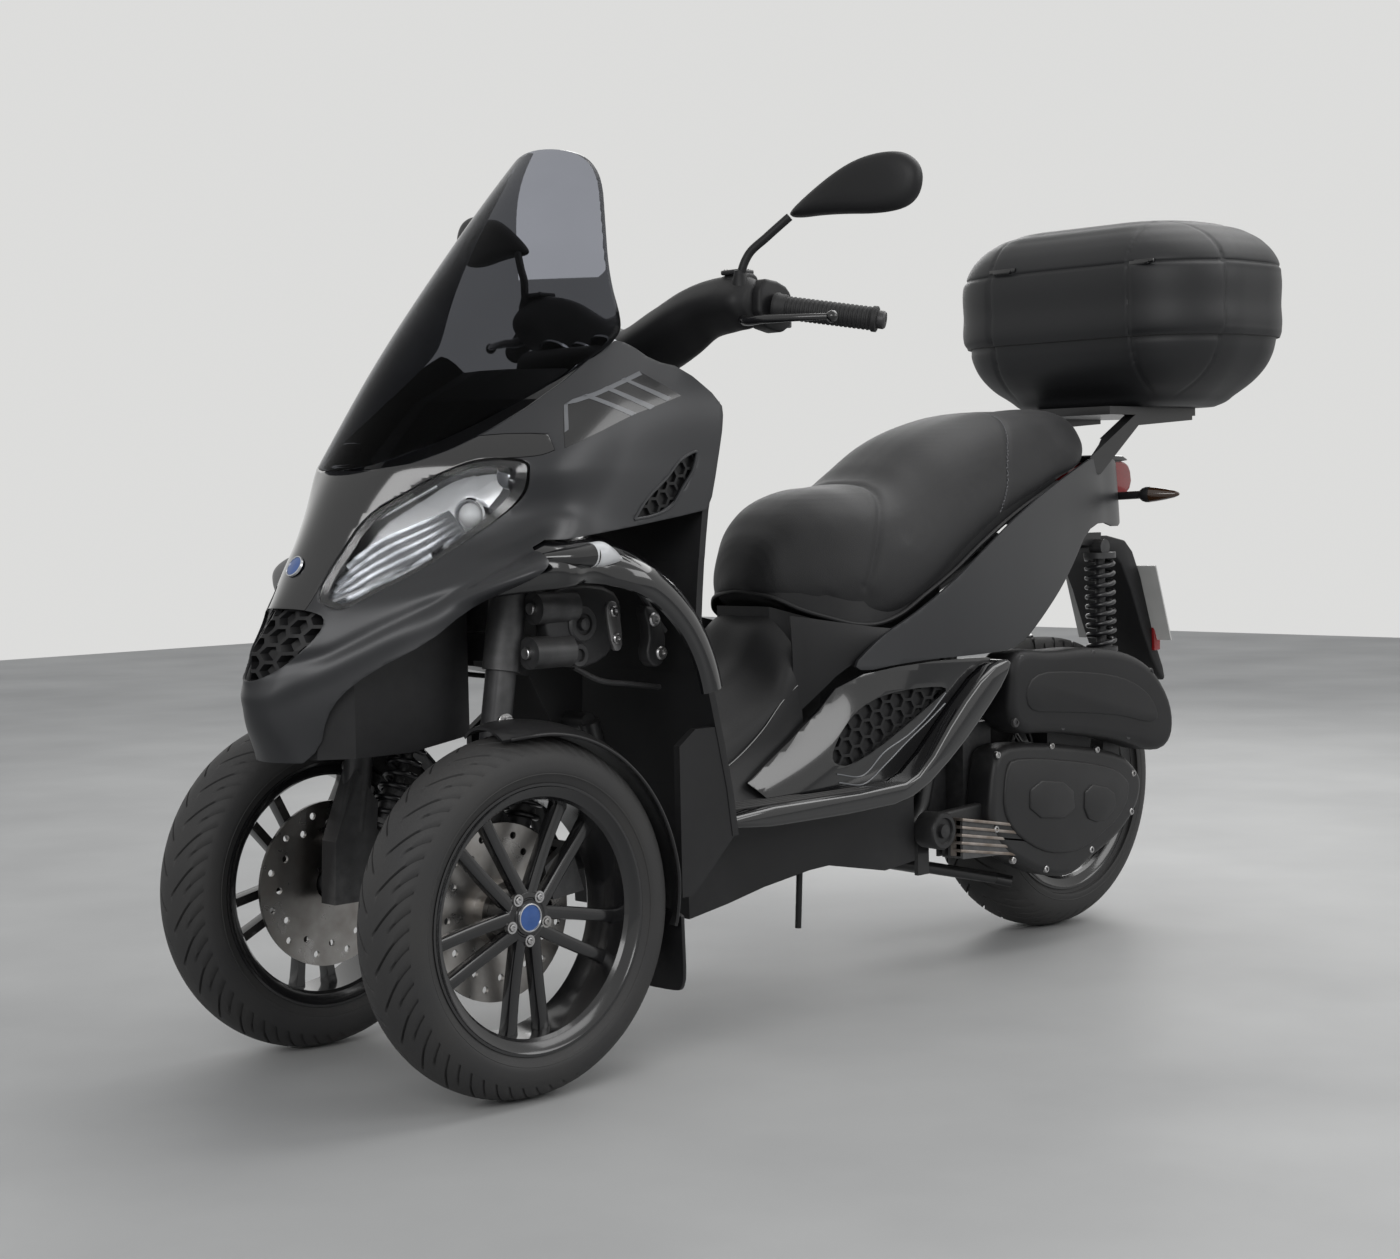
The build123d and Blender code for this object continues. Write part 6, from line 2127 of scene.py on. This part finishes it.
dress(other_side(reflector, "side_reflector_right"), RED)
plate_lamp_side = behind([(196, 690), (224, 676), (230, 658), (212, 650), (196, 668)])
dress(moulding(plate_lamp_side, (-34, 34), 4, 3, "plate_lamp"), GLOSS)

# Instruments behind the screen

pod_side = [(292, 976), (300, 1006), (330, 1016), (356, 1000), (362, 972), (340, 966)]
dress(moulding(softened(pod_side, 1), (-96, 96), 6, 3, "instrument_cluster"), PLASTIC)
tilt = np.array([0, 0.66, 0.75])
dials, rims, needles = [], [], []
for x, radius in ((-56, 30), (56, 30), (0, 20)):
    spot = np.array([x, 348.0, 1004])
    dial_face = [(0, 0.3), (0, radius), (1.5, radius), (1.5, 0.3)]
    dials.append(facing_turn("dial", dial_face, spot, tilt))
    dial_ring = [(0, radius), (3.5, radius), (4.5, radius + 2), (0, radius + 3.5)]
    rims.append(facing_turn("ring", dial_ring, spot, tilt))
    pivot = spot + tilt * 2.4
    tip = pivot + [-radius * 0.55, 0.2 * radius, -0.18 * radius]
    needles.append(tube_mesh("needle", [pivot, tip], 0.9, 8))
dress(joined("dial_faces", dials), DIAL)
dress(joined("dial_rings", rims), SILVER)
dress(joined("dial_needles", needles), RED)


# Camera at the photograph's place


CAMERA_SPOT = (2602, -1971, 787)
CAMERA_YAW, CAMERA_PITCH, CAMERA_ROLL = 44.39, 3.19, -1.2
FLOOR_REACH = 9000


def camera_axes():
    yaw, pitch, roll = (math.radians(v) for v in (CAMERA_YAW, CAMERA_PITCH, CAMERA_ROLL))
    level = math.cos(pitch)
    ahead = np.array([-math.cos(yaw) * level, math.sin(yaw) * level, -math.sin(pitch)])
    right = np.cross(ahead, [0, 0, 1])
    right /= np.linalg.norm(right)
    up = np.cross(right, ahead)
    level_right = math.cos(roll) * right + math.sin(roll) * up
    level_up = -math.sin(roll) * right + math.cos(roll) * up
    return level_right, level_up, -ahead


camera_data = bpy.data.cameras.new("camera")
camera_data.sensor_width = 36
camera_data.lens = 60.22
camera_data.clip_start = 0.05
camera_data.clip_end = 60
camera = bpy.data.objects.new("camera", camera_data)
bpy.context.scene.collection.objects.link(camera)
turn = Matrix([list(row) for row in np.array(camera_axes()).T]).to_4x4()
camera.matrix_world = Matrix.Translation(Vector(place([CAMERA_SPOT])[0])) @ turn
bpy.context.scene.camera = camera

# Pale floor, pale background and soft lamps


def pale_floor():
    material = finish_of(
        "pale floor", (0.50, 0.50, 0.49), 0.55, shade=(0.40, 0.40, 0.395), patch=1.6, spread=0.1
    )
    corners = ((-1, -1), (1, -1), (1, 1), (-1, 1))
    points = [(FLOOR_REACH * x, FLOOR_REACH * y, 0) for x, y in corners]
    floor = bare_mesh("floor", points, [(0, 1, 2, 3)])
    floor.data.materials.append(material)
    floor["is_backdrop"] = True


def pale_world():
    world = bpy.data.worlds.new("studio")
    bpy.context.scene.world = world
    world.use_nodes = True
    tree = world.node_tree
    output = tree.nodes["World Output"]
    soft = tree.nodes["Background"]
    soft.inputs["Color"].default_value = (0.86, 0.89, 0.94, 1)
    soft.inputs["Strength"].default_value = 0.42
    seen = tree.nodes.new("ShaderNodeBackground")
    seen.inputs["Color"].default_value = (0.80, 0.80, 0.79, 1)
    seen.inputs["Strength"].default_value = 0.9
    path = tree.nodes.new("ShaderNodeLightPath")
    direct = math_node(tree, "MAXIMUM", path.outputs["Is Camera Ray"], path.outputs["Is Transmission Ray"])
    shown = math_node(tree, "MAXIMUM", direct, path.outputs["Is Glossy Ray"])
    mix = tree.nodes.new("ShaderNodeMixShader")
    tree.links.new(shown, mix.inputs[0])
    tree.links.new(soft.outputs[0], mix.inputs[1])
    tree.links.new(seen.outputs[0], mix.inputs[2])
    tree.links.new(mix.outputs[0], output.inputs["Surface"])


def soft_lamp(name, spot, target, size, power):
    data = bpy.data.lights.new(name, "AREA")
    data.shape = "RECTANGLE"
    data.size, data.size_y = size
    data.energy = power
    lamp = bpy.data.objects.new(name, data)
    bpy.context.scene.collection.objects.link(lamp)
    lamp.location = spot
    lamp.rotation_euler = (Vector(target) - Vector(spot)).to_track_quat("-Z", "Y").to_euler()


pale_floor()
pale_world()
soft_lamp("overhead", (0.5, 1.9, 3.6), (0, 0.2, 0.5), (3.4, 3.0), 75)
soft_lamp("front window", (2.6, -4.4, 2.6), (0, -0.4, 0.6), (3.0, 1.8), 80)
soft_lamp("left side", (4.6, 1.9, 2.6), (0, 0.3, 0.6), (3.0, 1.8), 50)
soft_lamp("rear fill", (-2.6, 3.2, 2.4), (0, 0.2, 0.6), (2.6, 1.8), 34)

view = bpy.context.scene.view_settings
view.view_transform = "Standard"
low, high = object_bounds()
